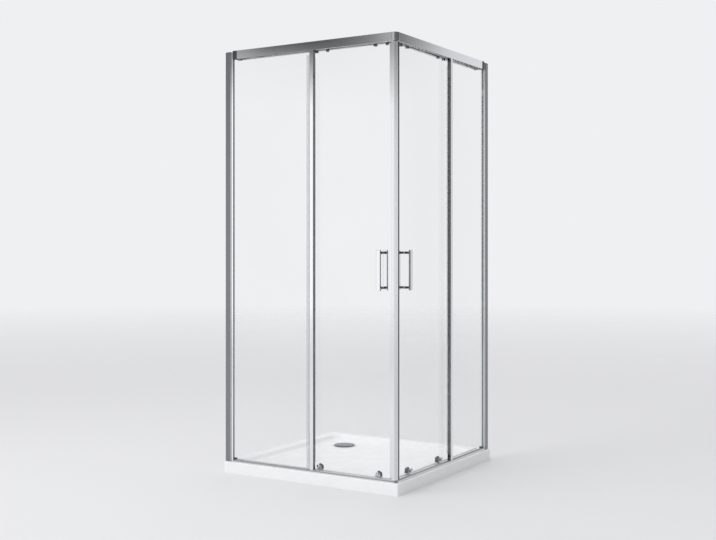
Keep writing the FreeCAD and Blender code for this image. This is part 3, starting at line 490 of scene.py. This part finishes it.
def see_through(name, tint, least_shine, gloss_roughness):
    finish = bpy.data.materials.new(name)
    finish.use_nodes = True
    tree = finish.node_tree
    tree.nodes.remove(tree.nodes["Principled BSDF"])
    edge_on = add_node(tree, "ShaderNodeLayerWeight", Blend=0.5)
    grow = math_step(tree, "POWER", edge_on.outputs["Facing"], 5.0)
    shine = math_step(tree, "MULTIPLY_ADD", grow, 0.9, least_shine)
    noise = add_node(tree, "ShaderNodeTexNoise", Scale=3.0, Detail=3.0)
    plug(tree, tree.nodes.new("ShaderNodeTexCoord").outputs["Object"], noise.inputs["Vector"])
    clear = tree.nodes.new("ShaderNodeBsdfTransparent")
    colour = colour_steps(tree, noise.outputs["Fac"], [(noise_low, tint), (noise_high, lighter(tint, 0.008))])
    plug(tree, colour, clear.inputs["Color"])
    gloss = add_node(tree, "ShaderNodeBsdfGlossy", Roughness=gloss_roughness, Color=(1, 1, 1, 1))
    pane_look = mix_shaders(tree, shine, clear.outputs[0], gloss.outputs[0])
    plug(tree, pane_look, tree.nodes["Material Output"].inputs[0])
    return finish


clear_glass = see_through("clear_glass", (0.986, 0.991, 0.989), 0.025, 0.02)
print("made", clear_glass.name)

# %% [markdown]
# ### Soft clear strips
# Seals and gaskets are clear soft plastic, and a pane's ground edge is milky too: part of the light
# goes straight through and the rest is scattered at the surface.

# %% Milky finishes
def milky(name, colour, clearness):
    finish = make_finish(name, (colour, lighter(colour, 0.06)), (0.25, 0.40), (500, 500, 60), 0.08)
    tree = finish.node_tree
    clear = add_node(tree, "ShaderNodeBsdfTransparent", Color=(0.955, 0.965, 0.965, 1))
    strip_look = mix_shaders(tree, clearness, tree.nodes["Principled BSDF"].outputs[0], clear.outputs[0])
    plug(tree, strip_look, tree.nodes["Material Output"].inputs[0])
    return finish


clear_seal = milky("clear_soft_seal", (0.87, 0.885, 0.89), 0.78)
glass_edge = milky("pale_green_glass_edge", (0.70, 0.78, 0.75), 0.60)
print("made", clear_seal.name, "and", glass_edge.name)

# %% [markdown]
# ### Metal brushed in circles
# The drain cover was brushed while it turned, so its lines are rings. A noise that reads only the
# distance from the cover's axis gives them, and a Mapping node centres it on the cover.

# %% Metal of the drain cover
drain_x, drain_y = -250.0, 250.0


def brushed_in_circles(name, colours):
    finish = make_finish(name, colours, (0.20, 0.34), 1, 0.05, metallic=1.0)
    tree = finish.node_tree
    centred = next(n for n in tree.nodes if n.bl_idname == "ShaderNodeMapping")
    centred.inputs["Location"].default_value = (-drain_x * mm, -drain_y * mm, 0)
    flat = add_node(tree, "ShaderNodeVectorMath", operation="MULTIPLY")
    flat.inputs[1].default_value = (1, 1, 0)
    plug(tree, centred.outputs[0], flat.inputs[0])
    from_axis = add_node(tree, "ShaderNodeVectorMath", operation="LENGTH")
    plug(tree, flat.outputs[0], from_axis.inputs[0])
    rings = tree.nodes.new("ShaderNodeCombineXYZ")
    rings_per_metre = 1400
    plug(tree, math_step(tree, "MULTIPLY", from_axis.outputs["Value"], rings_per_metre), rings.inputs["X"])
    noise = next(n for n in tree.nodes if n.bl_idname == "ShaderNodeTexNoise")
    plug(tree, rings.outputs[0], noise.inputs["Vector"])
    return finish


cover_metal = brushed_in_circles("brushed_cover_steel", ((0.16, 0.18, 0.195), (0.25, 0.275, 0.29)))
print("finishes in all", len(bpy.data.materials))

# %% [markdown]
# ## Eased edges
# No extruded or moulded piece has a razor edge. For the pieces whose shape is already right, the
# loose triangles of the construction model are copied and merged, the flat faces are joined again,
# and every sharp edge gets a narrow bevel.

# %% Helper: a copy of a node with eased edges
def merged_copy(name, place=Matrix.Identity(4)):
    shape = bmesh.new()
    shape.from_mesh(nodes[name].data)
    bmesh.ops.remove_doubles(shape, verts=shape.verts, dist=merge_distance)
    bmesh.ops.dissolve_limit(shape, angle_limit=math.radians(0.6), verts=shape.verts, edges=shape.edges)
    bmesh.ops.transform(shape, matrix=place.inverted(), verts=shape.verts)
    return shape


def bevel_edges(shape, edges, width, segments):
    bmesh.ops.bevel(shape, geom=edges, offset=width, offset_type="OFFSET", segments=segments, profile=0.5,
                    affect="EDGES", clamp_overlap=True, material=-1)


def ease_edges(shape, width, segments=2, sharper_than=50):
    sharp = [e for e in shape.edges if e.is_manifold and e.calc_face_angle(0) > math.radians(sharper_than)]
    bevel_edges(shape, sharp, width, segments)


def cut_level(shape, z, clear_above=False):
    """Cut all faces along a level plane, and take away what is above it if asked to."""
    bmesh.ops.bisect_plane(shape, geom=shape.verts[:] + shape.edges[:] + shape.faces[:], plane_co=(0, 0, z),
                           plane_no=(0, 0, 1), clear_outer=clear_above)


def eased(name, body, finishes, width=0.4, segments=2, choose=None, cut_height=None):
    """A copy of a node with eased edges: choose gives the number of the finish of each face."""
    shape = merged_copy(name)
    if cut_height:
        cut_level(shape, cut_height * mm)
    ease_edges(shape, width * mm, segments)
    if choose:
        for face in shape.faces:
            face.material_index = choose(face)
    return make_piece(shape, name + "_eased", body, finishes, (name,), Matrix.Identity(4))


def count_eased():
    return sum(o.name.endswith("_eased") for o in bpy.data.objects)


# %% [markdown]
# ## The fixed frame
# A face is known by where it looks and how deep it lies behind the frame's outer face. Depths are
# in metres here, because they are measured on copies of the construction model.

# %% Helper: how a face lies
squarely = 0.9


def depth_and_facing(face, face_name):
    behind = (frame_corner - face.calc_center_median()).dot(outward[face_name])
    return behind, face.normal.dot(outward[face_name])


# %% [markdown]
# ### Rails
# A top rail is a hollow profile. Its outermost faces and its top are polished, and everything inside
# is plain: polished inner faces would mirror the dark hollow and draw a black band under the rail.

# %% Helper: a top rail
skin = 0.002


def top_rail(name, face_name):
    back = max((frame_corner - Vector(corner)).dot(outward[face_name]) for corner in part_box(name))
    print(name, "is", round(back / mm, 1), "mm deep")

    def polished_or_plain(face):
        depth, facing = depth_and_facing(face, face_name)
        at_front = facing > squarely and depth < skin
        at_back = facing < -squarely and depth > back - skin
        on_top = face.calc_center_median().z > (rail_top - 1) * mm
        return 0 if at_front or at_back or on_top else 1

    finishes = [bright_rail[face_name], inner_rail[face_name]]
    eased(name, "frame", finishes, 0.35, 2, polished_or_plain)


# %% [markdown]
# ### Sills
# The sill lies in a thin bead of sealant, pale like the tray. The sill is cut level at the bead's top
# so that the bead is a strip of faces with the pale finish. Over it the front's outer face is the
# grey line that the eye sees. The side is seen at a lower angle: there the outer face is pale too,
# and the grey line is the strip between it and the door. This grey line is painted shade: it stands
# for the shadowed slot along the top of the sill.

# %% Top rails and sills
bead_height = 2.4
outer_face_depth, strip_depth = 0.003, 0.013


def grey_or_pale_front(face):
    depth, facing = depth_and_facing(face, "front")
    over_bead = face.calc_center_median().z > (tray_top + bead_height) * mm
    return 0 if facing > squarely and depth < outer_face_depth and over_bead else 1


def grey_or_pale_side(face):
    depth, facing = depth_and_facing(face, "side")
    return 1 if depth > strip_depth or facing > squarely and depth < outer_face_depth else 0


for face_name, grey_or_pale in (("front", grey_or_pale_front), ("side", grey_or_pale_side)):
    top_rail("top_rail_" + face_name, face_name)
    eased("bottom_rail_" + face_name, "frame",
          [sill_satin_painted_shade[face_name], inner_rail[face_name]], 0.35, 2, grey_or_pale, tray_top + bead_height)
print("bead of", bead_height, "mm at the sills' foot")

# %% [markdown]
# ### Uprights and fittings
# Each square tube on the free edge of a fixed pane has one side face, the one that looks towards its
# door, in a dark grey that is a painted reflection. The wall profiles are satin all round, and the
# caps and blocks are dark plastic.

# %% Uprights, caps, blocks and screws
side_frame_from_x = 0.3


def side_towards_door(face):
    on_side_frame = face.calc_center_median().x > side_frame_from_x
    towards_door = -face.normal.y if on_side_frame else face.normal.x
    return 1 if towards_door > squarely else 0


for name in ("corner_connector", "adjust_profiles"):
    eased(name, "frame", [bright_upright], 0.35)
eased("mid_profiles", "frame", [bright_upright, upright_with_painted_reflection], 0.35, 2,
      side_towards_door)
eased("wall_profiles", "frame", [satin_upright], 0.6, 3)
for name in ("profile_caps", "rail_brackets", "foot_brackets"):
    eased(name, "frame", [dark_plastic], 0.5, 3)
eased("frame_screws", "frame", [stainless], 0.25)
eased("drain_flange", "frame", [plain_aluminium], 0.3)
print("pieces of the frame so far", count_eased())

# %% [markdown]
# ### Soft strips and stops
# Gaskets, wiping lips and stops are extruded or moulded from soft plastic and rubber. The strips are
# thin, so their edges are eased by less than those of metal, and the stops' edges by more.

# %% Soft strips and stops
eased("glass_gaskets", "frame", [clear_seal], 0.25)
eased("lip_seals", "frame", [clear_seal], 0.2)
eased("door_stops", "frame", [black_rubber], 0.8, 3)
for face_name in places:
    eased("trailing_seal_" + face_name, "door_" + face_name, [clear_seal], 0.25)
    eased("magnet_strip_" + face_name, "door_" + face_name, [magnet_grey], 0.3)
print("with strips and stops", count_eased())

# %% [markdown]
# ### Panes
# A pane is a plate with ground edges and round holes. The two large surfaces get the clear glass,
# and its edges and hole walls get the pale green of glass seen through its width.

# %% Panes
def pane(name, body, face_name):
    def surface_or_edge(face):
        return 0 if abs(face.normal.dot(outward[face_name])) > 0.99 else 1
    return eased(name, body, [clear_glass, glass_edge], 0.6, 1, surface_or_edge)


for face_name in places:
    fixed = pane("fixed_glass_" + face_name, "frame", face_name)
    sliding = pane("door_glass_" + face_name, "door_" + face_name, face_name)
    print(fixed.name, rounded(fixed.dimensions), "and", sliding.name, rounded(sliding.dimensions))

# %% [markdown]
# ## The tray
# The real tray is cast in one mould: a rim, a rounded lip, walls that lean in, a wide soft cove and a
# floor that falls towards the waste. It could be sculpted or cut with booleans. Here a few closed
# outlines are bridged one after the other, all with the same number of points, and then the loops
# that are soft on the real tray are bevelled by their own widths.

# %% Helper: outlines and circles as loops of edges
def rounded_outline(shape, x0, x1, y0, y1, z, radius, corner_steps=12, straight_cuts=10):
    faces_before, edges_before = set(shape.faces), set(shape.edges)
    corners = [shape.verts.new((x, y, z)) for x, y in ((x0, y0), (x1, y0), (x1, y1), (x0, y1))]
    shape.faces.new(corners)
    bmesh.ops.bevel(shape, geom=corners, offset=radius, offset_type="OFFSET", segments=corner_steps,
                    profile=0.5, affect="VERTICES", material=-1)
    sheet = [f for f in shape.faces if f not in faces_before]
    bmesh.ops.delete(shape, geom=sheet, context="FACES_ONLY")
    loop = [e for e in shape.edges if e not in edges_before]
    longest = sorted(loop, key=lambda e: e.calc_length())[-4:]
    bmesh.ops.subdivide_edges(shape, edges=longest, cuts=straight_cuts)
    return [e for e in shape.edges if e not in edges_before]


def circle_of(shape, x, y, z, radius, points):
    made = bmesh.ops.create_circle(shape, cap_ends=False, segments=points, radius=radius,
                                   matrix=Matrix.Translation((x, y, z)))
    return list({e for v in made["verts"] for e in v.link_edges})


# %% Sizes of the tray in millimetres
tray_half, wall_rim, entry_rim = 450, 46, 68
basin_floor, wall_lean, floor_fall = 30.0, 22, 0.008
skirt_radius, lip_radius, cove_radius = 5, 55, 33
waste_radius, seat_radius, seat_floor = 45, 60.3, 26.7
print("the basin is", tray_top - basin_floor, "mm deep")


def floor_height(x, y):
    """The floor rises 8 mm per metre away from the waste."""
    return basin_floor + floor_fall * max(0.0, math.hypot(x - drain_x, y - drain_y) - seat_radius)


def let_fall(vertex):
    vertex.co.z = floor_height(vertex.co.x, vertex.co.y)


# %% Outlines from the tray's foot to its waste hole
tray = bmesh.new()


def skirt_outline(z):
    return rounded_outline(tray, -tray_half, tray_half, -tray_half, tray_half, z, skirt_radius)


def basin_outline(lean, z, radius):
    by_wall, by_entry = tray_half - wall_rim - lean, tray_half - entry_rim - lean
    return rounded_outline(tray, -by_wall, by_entry, -by_entry, by_wall, z, radius)


outer_foot = skirt_outline(0)
outer_rim = skirt_outline(tray_top)
lip = basin_outline(0, tray_top, lip_radius)
cove = basin_outline(wall_lean, basin_floor, cove_radius)
cove_points = {v for e in cove for v in e.verts}
for vertex in cove_points:
    let_fall(vertex)
seat, seat_rim_below, waste_hole, waste_foot = (
    circle_of(tray, drain_x, drain_y, z, radius, len(cove))
    for z, radius in ((basin_floor, seat_radius), (seat_floor, seat_radius), (seat_floor, waste_radius),
                      (0, waste_radius)))
print("each outline has", len(cove), "points")

# %% Shower tray
chain = [outer_foot, outer_rim, lip, cove, seat, seat_rim_below, waste_hole, waste_foot, outer_foot]
for first, second in zip(chain, chain[1:]):
    bmesh.ops.bridge_loops(tray, edges=first + second)
seat_points = {v for e in seat for v in e.verts}
spokes = [e for e in tray.edges if (e.verts[0] in cove_points) != (e.verts[1] in cove_points)
          and (e.verts[0] in seat_points) != (e.verts[1] in seat_points)]
bmesh.ops.subdivide_edges(tray, edges=spokes, cuts=7, use_grid_fill=True)
for vertex in tray.verts:
    if basin_floor - 1 < vertex.co.z < tray_top - 10:
        let_fall(vertex)
for loop, width, steps in ((cove, 12.0, 6), (lip, 7.0, 6), (outer_rim, 3.0, 4), (seat, 1.0, 2)):
    bevel_edges(tray, loop, width, steps)
print("tray faces", len(tray.faces))
make_piece(tray, "cast_tray", "frame", [tray_white], ("shower_tray",), sharp_over=60)

# %% [markdown]
# ## Turned pieces
# Screws, studs, wheels and the drain cover are all turned: a profile goes round an axis. The spin
# operator does this, and its first and last copy are merged. Each profile is a list of radius and
# height, drawn along z and then turned to lie along v, where the piece points through the glass.

# %% Helper: turn a profile, and turn it to lie along v
def spun(shape, profile, steps=32, closed=False, finish_index=0):
    before = set(shape.verts)
    faces_before = set(shape.faces)
    points = [shape.verts.new((radius, 0, along)) for radius, along in profile]
    pairs = list(zip(points, points[1:])) + ([(points[-1], points[0])] if closed else [])
    edges = [shape.edges.new(pair) for pair in pairs]
    bmesh.ops.spin(shape, geom=points + edges, cent=(0, 0, 0), axis=(0, 0, 1), dvec=(0, 0, 0),
                   angle=2 * math.pi, steps=steps, use_merge=True, use_normal_flip=False, use_duplicate=False)
    for face in shape.faces:
        if face not in faces_before:
            face.material_index = finish_index
    return [v for v in shape.verts if v not in before]


def lay_along_v(shape, points, u, z):
    matrix = Matrix.Translation((u, 0, z)) @ Matrix.Rotation(math.radians(-90), 4, "X")
    bmesh.ops.transform(shape, matrix=matrix, verts=points)


# %% [markdown]
# ### Drain cover
# The cover is a slightly domed disc with a shallow ring groove near its edge and a rolled rim. It
# stands on three short legs with a collar, one every 120 degrees.

# %% Drain cover
cover_outline = [(0, 35.7), (14, 35.66), (28, 35.5), (40, 35.15), (43.6, 34.95), (44.0, 34.5), (44.8, 34.5),
                 (45.2, 34.85), (49.0, 34.5), (51.0, 34.0), (51.9, 33.4), (51.7, 32.9), (50.8, 32.7),
                 (49.4, 32.9), (0, 33.1)]
leg_outline = [(0, 33.4), (7.0, 33.4), (7.0, 30.1), (6.6, 29.7), (3.0, 29.7), (3.0, 19.4), (2.4, 18.7),
               (0, 18.7)]
leg_circle, leg_count = 37.4, 3
cover = bmesh.new()
points = spun(cover, cover_outline, steps=72)
bmesh.ops.translate(cover, vec=(drain_x, drain_y, 0), verts=points)
for i in range(leg_count):
    angle = 2 * math.pi * i / leg_count
    points = spun(cover, leg_outline, steps=20)
    bmesh.ops.translate(cover, verts=points, vec=(drain_x + leg_circle * math.cos(angle),
                                                  drain_y + leg_circle * math.sin(angle), 0))
print("cover faces", len(cover.faces))
make_piece(cover, "domed_drain_cover", "drain_cover", [cover_metal], ("drain_cover",),
           sharp_over=35)

# %% [markdown]
# ### Screws with a hexagon socket
# The head's flat ring is bridged to a small hexagon, and the hexagon is pushed into the head. Two
# such bolts hold each hanging carriage to the door's glass, and one screw holds each lower guide.

# %% Helper: a socket screw
def socket_screw(shape, u, z, profile, socket_radius=2.5, socket_depth=1.6):
    head = profile[0][1]
    before = set(shape.verts)
    spun(shape, profile, steps=24)
    bmesh.ops.remove_doubles(shape, verts=[v for v in shape.verts if v not in before], dist=1e-4)
    ring = [e for e in shape.edges if e.is_boundary and e.verts[0] not in before
            and all(abs(v.co.z - head) < 1e-3 for v in e.verts)]
    made = bmesh.ops.create_circle(shape, cap_ends=False, segments=6, radius=socket_radius,
                                   matrix=Matrix.Translation((0, 0, head)))
    hexagon = list({e for v in made["verts"] for e in v.link_edges})
    bmesh.ops.bridge_loops(shape, edges=ring + hexagon)
    pushed = bmesh.ops.extrude_edge_only(shape, edges=hexagon)["geom"]
    deep = [g for g in pushed if isinstance(g, bmesh.types.BMVert)]
    bmesh.ops.translate(shape, vec=(0, 0, socket_depth), verts=deep)
    bmesh.ops.contextual_create(shape, geom=deep)
    lay_along_v(shape, [v for v in shape.verts if v not in before], u, z)


# %% Carriage bolts and guide screws
head_outline = [(3.7, 23.0), (5.0, 23.05), (5.9, 23.4), (6.4, 24.1), (6.5, 24.8), (6.5, 26.0), (5.0, 26.0),
                (5.0, 32.0)]
bolt_outline = head_outline + [(3.0, 32.0), (3.0, 37.1), (2.6, 37.5), (0, 37.5)]
screw_outline = head_outline + [(2.5, 32.0), (2.5, 36.2), (2.2, 36.4), (0, 36.4)]
bolt_from_wheel = 29
for face_name, place in places.items():
    bolts, screws = bmesh.new(), bmesh.new()
    bolt_height = middle_on_board("carriage_bolts_" + face_name, face_name)[2]
    screw_height = middle_on_board("guide_screws_" + face_name, face_name)[2]
    for letter in "ab":
        wheel_u = middle_on_board(f"top_wheel_{letter}_{face_name}", face_name)[0]
        guide_u = middle_on_board(f"guide_wheel_{letter}_{face_name}", face_name)[0]
        for side in (-bolt_from_wheel, bolt_from_wheel):
            socket_screw(bolts, wheel_u + side, bolt_height, bolt_outline)
        socket_screw(screws, guide_u, screw_height, screw_outline)
    make_piece(bolts, "socket_bolts_" + face_name, "door_" + face_name, [dark_chrome],
               ("carriage_bolts_" + face_name,), place)
    make_piece(screws, "socket_guide_screws_" + face_name, "door_" + face_name, [chrome],
               ("guide_screws_" + face_name,), place)
    print(face_name, "bolts at", bolt_height, "mm and screws at", screw_height, "mm")

# %% [markdown]
# ### Wheels
# A hanging wheel is a steel bearing with a nylon tyre, and the tyre has a groove that runs on the
# rail's rib. The guide wheels below are small and all nylon.

# %% Outlines of the wheels
tyre = [(5.4, 39.5), (6.0, 39.5), (6.4, 40.2), (8.8, 40.2), (9.2, 39.5), (10.7, 39.5), (11.0, 39.8),
        (11.0, 41.7), (9.0, 42.2), (9.0, 44.8), (11.0, 45.3), (11.0, 47.2), (10.7, 47.5), (9.2, 47.5),
        (8.8, 46.8), (6.4, 46.8), (6.0, 47.5), (5.4, 47.5)]
bearing = [(3.05, 39.7), (3.25, 39.5), (4.1, 39.5), (4.1, 39.8), (4.5, 39.8), (4.5, 39.5), (5.38, 39.5),
           (5.38, 47.5), (4.5, 47.5), (4.5, 47.2), (4.1, 47.2), (4.1, 47.5), (3.25, 47.5), (3.05, 47.3)]
small_wheel = [(1.55, 40.7), (1.75, 40.5), (3.2, 40.5), (3.4, 40.8), (4.6, 40.8), (4.8, 40.5), (5.3, 40.5),
               (5.5, 40.7), (5.5, 41.7), (4.2, 42.2), (4.2, 44.8), (5.5, 45.3), (5.5, 46.3), (5.3, 46.5),
               (4.8, 46.5), (4.6, 46.2), (3.4, 46.2), (3.2, 46.5), (1.75, 46.5), (1.55, 46.3)]
print("tyre", max(r for r, along in tyre), "mm, small wheel", max(r for r, along in small_wheel), "mm")

# %% Wheels
for face_name, place in places.items():
    for letter in "ab":
        name = f"top_wheel_{letter}_{face_name}"
        u, v, z = middle_on_board(name, face_name)
        wheel = bmesh.new()
        parts = spun(wheel, tyre, 48, closed=True) + spun(wheel, bearing, 48, closed=True, finish_index=1)
        lay_along_v(wheel, parts, u, z)
        make_piece(wheel, name + "_with_bearing", name, [nylon, stainless], (name,), place)
        print(name, "turns at", u, z)
    for letter in "ab":
        name = f"guide_wheel_{letter}_{face_name}"
        u, v, z = middle_on_board(name, face_name)
        wheel = bmesh.new()
        lay_along_v(wheel, spun(wheel, small_wheel, 32, closed=True), u, z)
        make_piece(wheel, name + "_moulded", name, [nylon], (name,), place)
        print(name, "turns at", u, z)

# %% [markdown]
# ## Springs and release knobs
# A coil spring sits on each knob's stem inside the guide. The spin operator makes a coil when it also
# moves a little at each step. The first and last turn lie flat, as on a real compression spring. The
# spring stands still with the door.

# %% Helper: a coil spring
def coil_spring(shape, u, v, low, high, radius=4.3, wire_radius=0.45, turns=3.5):
    made = bmesh.ops.create_circle(shape, cap_ends=False, segments=8, radius=wire_radius,
                                   matrix=Matrix.Translation((u + radius, v, low + wire_radius))
                                   @ Matrix.Rotation(math.radians(90), 4, "X"))
    section = list({e for p in made["verts"] for e in p.link_edges}) + made["verts"]
    ends = [[e for e in section if isinstance(e, bmesh.types.BMEdge)]]
    flat_rise = wire_radius * 2.1
    free_rise = high - low - 2 * wire_radius - 2 * flat_rise
    for count, rise in ((1, flat_rise), (turns, free_rise), (1, flat_rise)):
        steps = int(20 * count)
        turned = bmesh.ops.spin(shape, geom=section, cent=(u, v, 0), axis=(0, 0, 1),
                                dvec=(0, 0, rise / steps), angle=2 * math.pi * count, steps=steps,
                                use_merge=False, use_normal_flip=False, use_duplicate=False)
        section = turned["geom_last"]
    ends.append([e for e in section if isinstance(e, bmesh.types.BMEdge)])
    for end in ends:
        bmesh.ops.edgeloop_fill(shape, edges=end)


# %% [markdown]
# ### Fluted knobs
# A knob that wet fingers lift has flutes round its rim. The plain knob of the construction model is
# cut off over its stem and fork, and a fluted one is put on: every second point of a circle is drawn
# in, the outline is extruded, and its top edge is rounded.

# %% Helper: a fluted knob
def fluted_knob(shape, u, v, low, high, radius=5.0, ribs=12):
    made = bmesh.ops.create_circle(shape, cap_ends=True, segments=ribs * 2, radius=radius,
                                   matrix=Matrix.Translation((u, v, low)))
    rim = made["verts"]
    bmesh.ops.scale(shape, vec=(0.92, 0.92, 1), verts=rim[::2], space=Matrix.Translation((-u, -v, 0)))
    base = rim[0].link_faces[0]
    top = bmesh.ops.extrude_face_region(shape, geom=[base], use_keep_orig=True)["geom"]
    lifted = [g for g in top if isinstance(g, bmesh.types.BMVert)]
    bmesh.ops.translate(shape, vec=(0, 0, high - low), verts=lifted)
    lid = next(g for g in top if isinstance(g, bmesh.types.BMFace))
    bevel_edges(shape, list(lid.edges), 0.7, 3)


# %% Knobs and their springs
knob_cut, knob_low, knob_high = 77.85, 77.8, 81.8
spring_low, spring_high = 67.85, 75.35
for face_name, place in places.items():
    for letter in "ab":
        name = f"release_knob_{letter}_{face_name}"
        u, v, z = middle_on_board(f"guide_wheel_{letter}_{face_name}", face_name)
        knob = merged_copy(name, place)
        cut_level(knob, knob_cut, clear_above=True)
        bmesh.ops.holes_fill(knob, edges=[e for e in knob.edges if e.is_boundary], sides=0)
        ease_edges(knob, 0.2, 2)
        fluted_knob(knob, u, v, knob_low, knob_high)
        make_piece(knob, name + "_fluted", name, [dark_plastic], (name,), place)
        spring = bmesh.new()
        coil_spring(spring, u, v, spring_low, spring_high)
        piece = make_piece(spring, f"coil_spring_{letter}_{face_name}", "door_" + face_name,
                           [stainless], (f"knob_spring_{letter}_{face_name}",), place, sharp_over=60)
        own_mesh(piece)
        print(name, "over its wheel at", u, v)

# %% [markdown]
# ## Handles
# Each door has a flat chromed bar outside and one inside. Four studs join them through the glass, with
# a clear washer between metal and glass. The bars are blocks with rounded edges, the studs are turned
# with a thinner waist. The narrow side faces of polished chrome often look dark, because they mirror
# something dark. That dark reflection is painted here: these faces and the rounded edges beside them
# get a darker grey chrome than the broad faces.

# %% Helper: the two bars of a handle
bar_thickness, bar_edge = 9, 1.6
broad_face_tilt = 0.3


def rounded_block(shape, low, high, width, segments):
    made = bmesh.ops.create_cube(shape, size=1)["verts"]
    low, high = Vector(low), Vector(high)
    bmesh.ops.transform(shape, verts=made, matrix=Matrix.Translation((low + high) / 2)
                        @ Matrix.Diagonal((*(high - low), 1)))
    bevel_edges(shape, list({e for v in made for e in v.link_edges}), width, segments)


def handle_bars(face_name, place, low, high):
    (u_low, v_low, z_low), (u_high, v_high, z_high) = low, high
    bars = bmesh.new()
    for v in (v_low, v_high - bar_thickness):
        rounded_block(bars, (u_low, v, z_low), (u_high, v + bar_thickness, z_high), bar_edge, 5)
    bars.normal_update()
    for face in bars.faces:
        # faces turned sideways get the chrome with a painted dark reflection
        face.material_index = 1 if abs(face.normal.x) > broad_face_tilt else 0
    make_piece(bars, "rounded_handle_bars_" + face_name, "door_" + face_name,
               [chrome, chrome_with_painted_reflection], ("handle_bars_" + face_name,), place)
    print(face_name, "handle bars", u_high - u_low, "x", z_high - z_low, "mm")


# %% Handles
stud_from_end = 11.5
outer_stud = [(0, 4.5), (5.1, 4.5), (5.5, 4.9), (5.5, 8.2), (4.8, 8.8), (4.8, 21.0), (5.5, 21.6), (5.5, 24.7),
              (5.2, 25.0), (3.0, 25.0), (3.0, 46.0), (0, 46.0)]
inner_stud = [(3.05, 33.0), (5.2, 33.0), (5.5, 33.3), (5.5, 36.4), (4.8, 37.0), (4.8, 49.2), (5.5, 49.8),
              (5.5, 53.1), (5.1, 53.5), (0, 53.5), (0, 47.0), (3.05, 47.0)]
washer_starts = (25.0, 32.0)
for face_name, place in places.items():
    low, high = box_on_board("handle_bars_" + face_name, face_name)
    handle_bars(face_name, place, low, high)
    studs = bmesh.new()
    for z in (low[2] + stud_from_end, high[2] - stud_from_end):
        parts = spun(studs, outer_stud, 28) + spun(studs, inner_stud, 28, closed=True)
        for start in washer_starts:
            washer = [(3.1, start), (5.4, start), (5.4, start + 1), (3.1, start + 1)]
            parts += spun(studs, washer, 28, closed=True, finish_index=1)
        lay_along_v(studs, parts, (low[0] + high[0]) / 2, z)
    make_piece(studs, "waisted_handle_studs_" + face_name, "door_" + face_name,
               [dark_metal, clear_seal], ("handle_studs_" + face_name,), place, sharp_over=30)
    print(face_name, "studs", high[2] - low[2] - 2 * stud_from_end, "mm apart")

# %% [markdown]
# ## The doors' other pieces
# Their shape is right already, so they only need softer edges and the right metal or plastic. On the
# profiles along the doors' free edges, the faces that look to the right get a painted dark reflection.

# %% Leading profiles, carriages and guides
def looks_right(face):
    return 1 if face.normal.x > squarely else 0


for face_name in places:
    door = "door_" + face_name
    eased("lead_profile_" + face_name, door, [bright_upright, upright_with_painted_reflection], 0.35, 2,
          looks_right)
    eased("carriage_plates_" + face_name, door, [grey_steel], 0.4)
    eased("axle_pins_" + face_name, door, [stainless], 0.3)
    eased("guide_faces_" + face_name, door, [chrome], 0.7, 3)
    eased("guide_housings_" + face_name, door, [dark_plastic], 0.6, 3)
print("pieces with eased edges", count_eased())
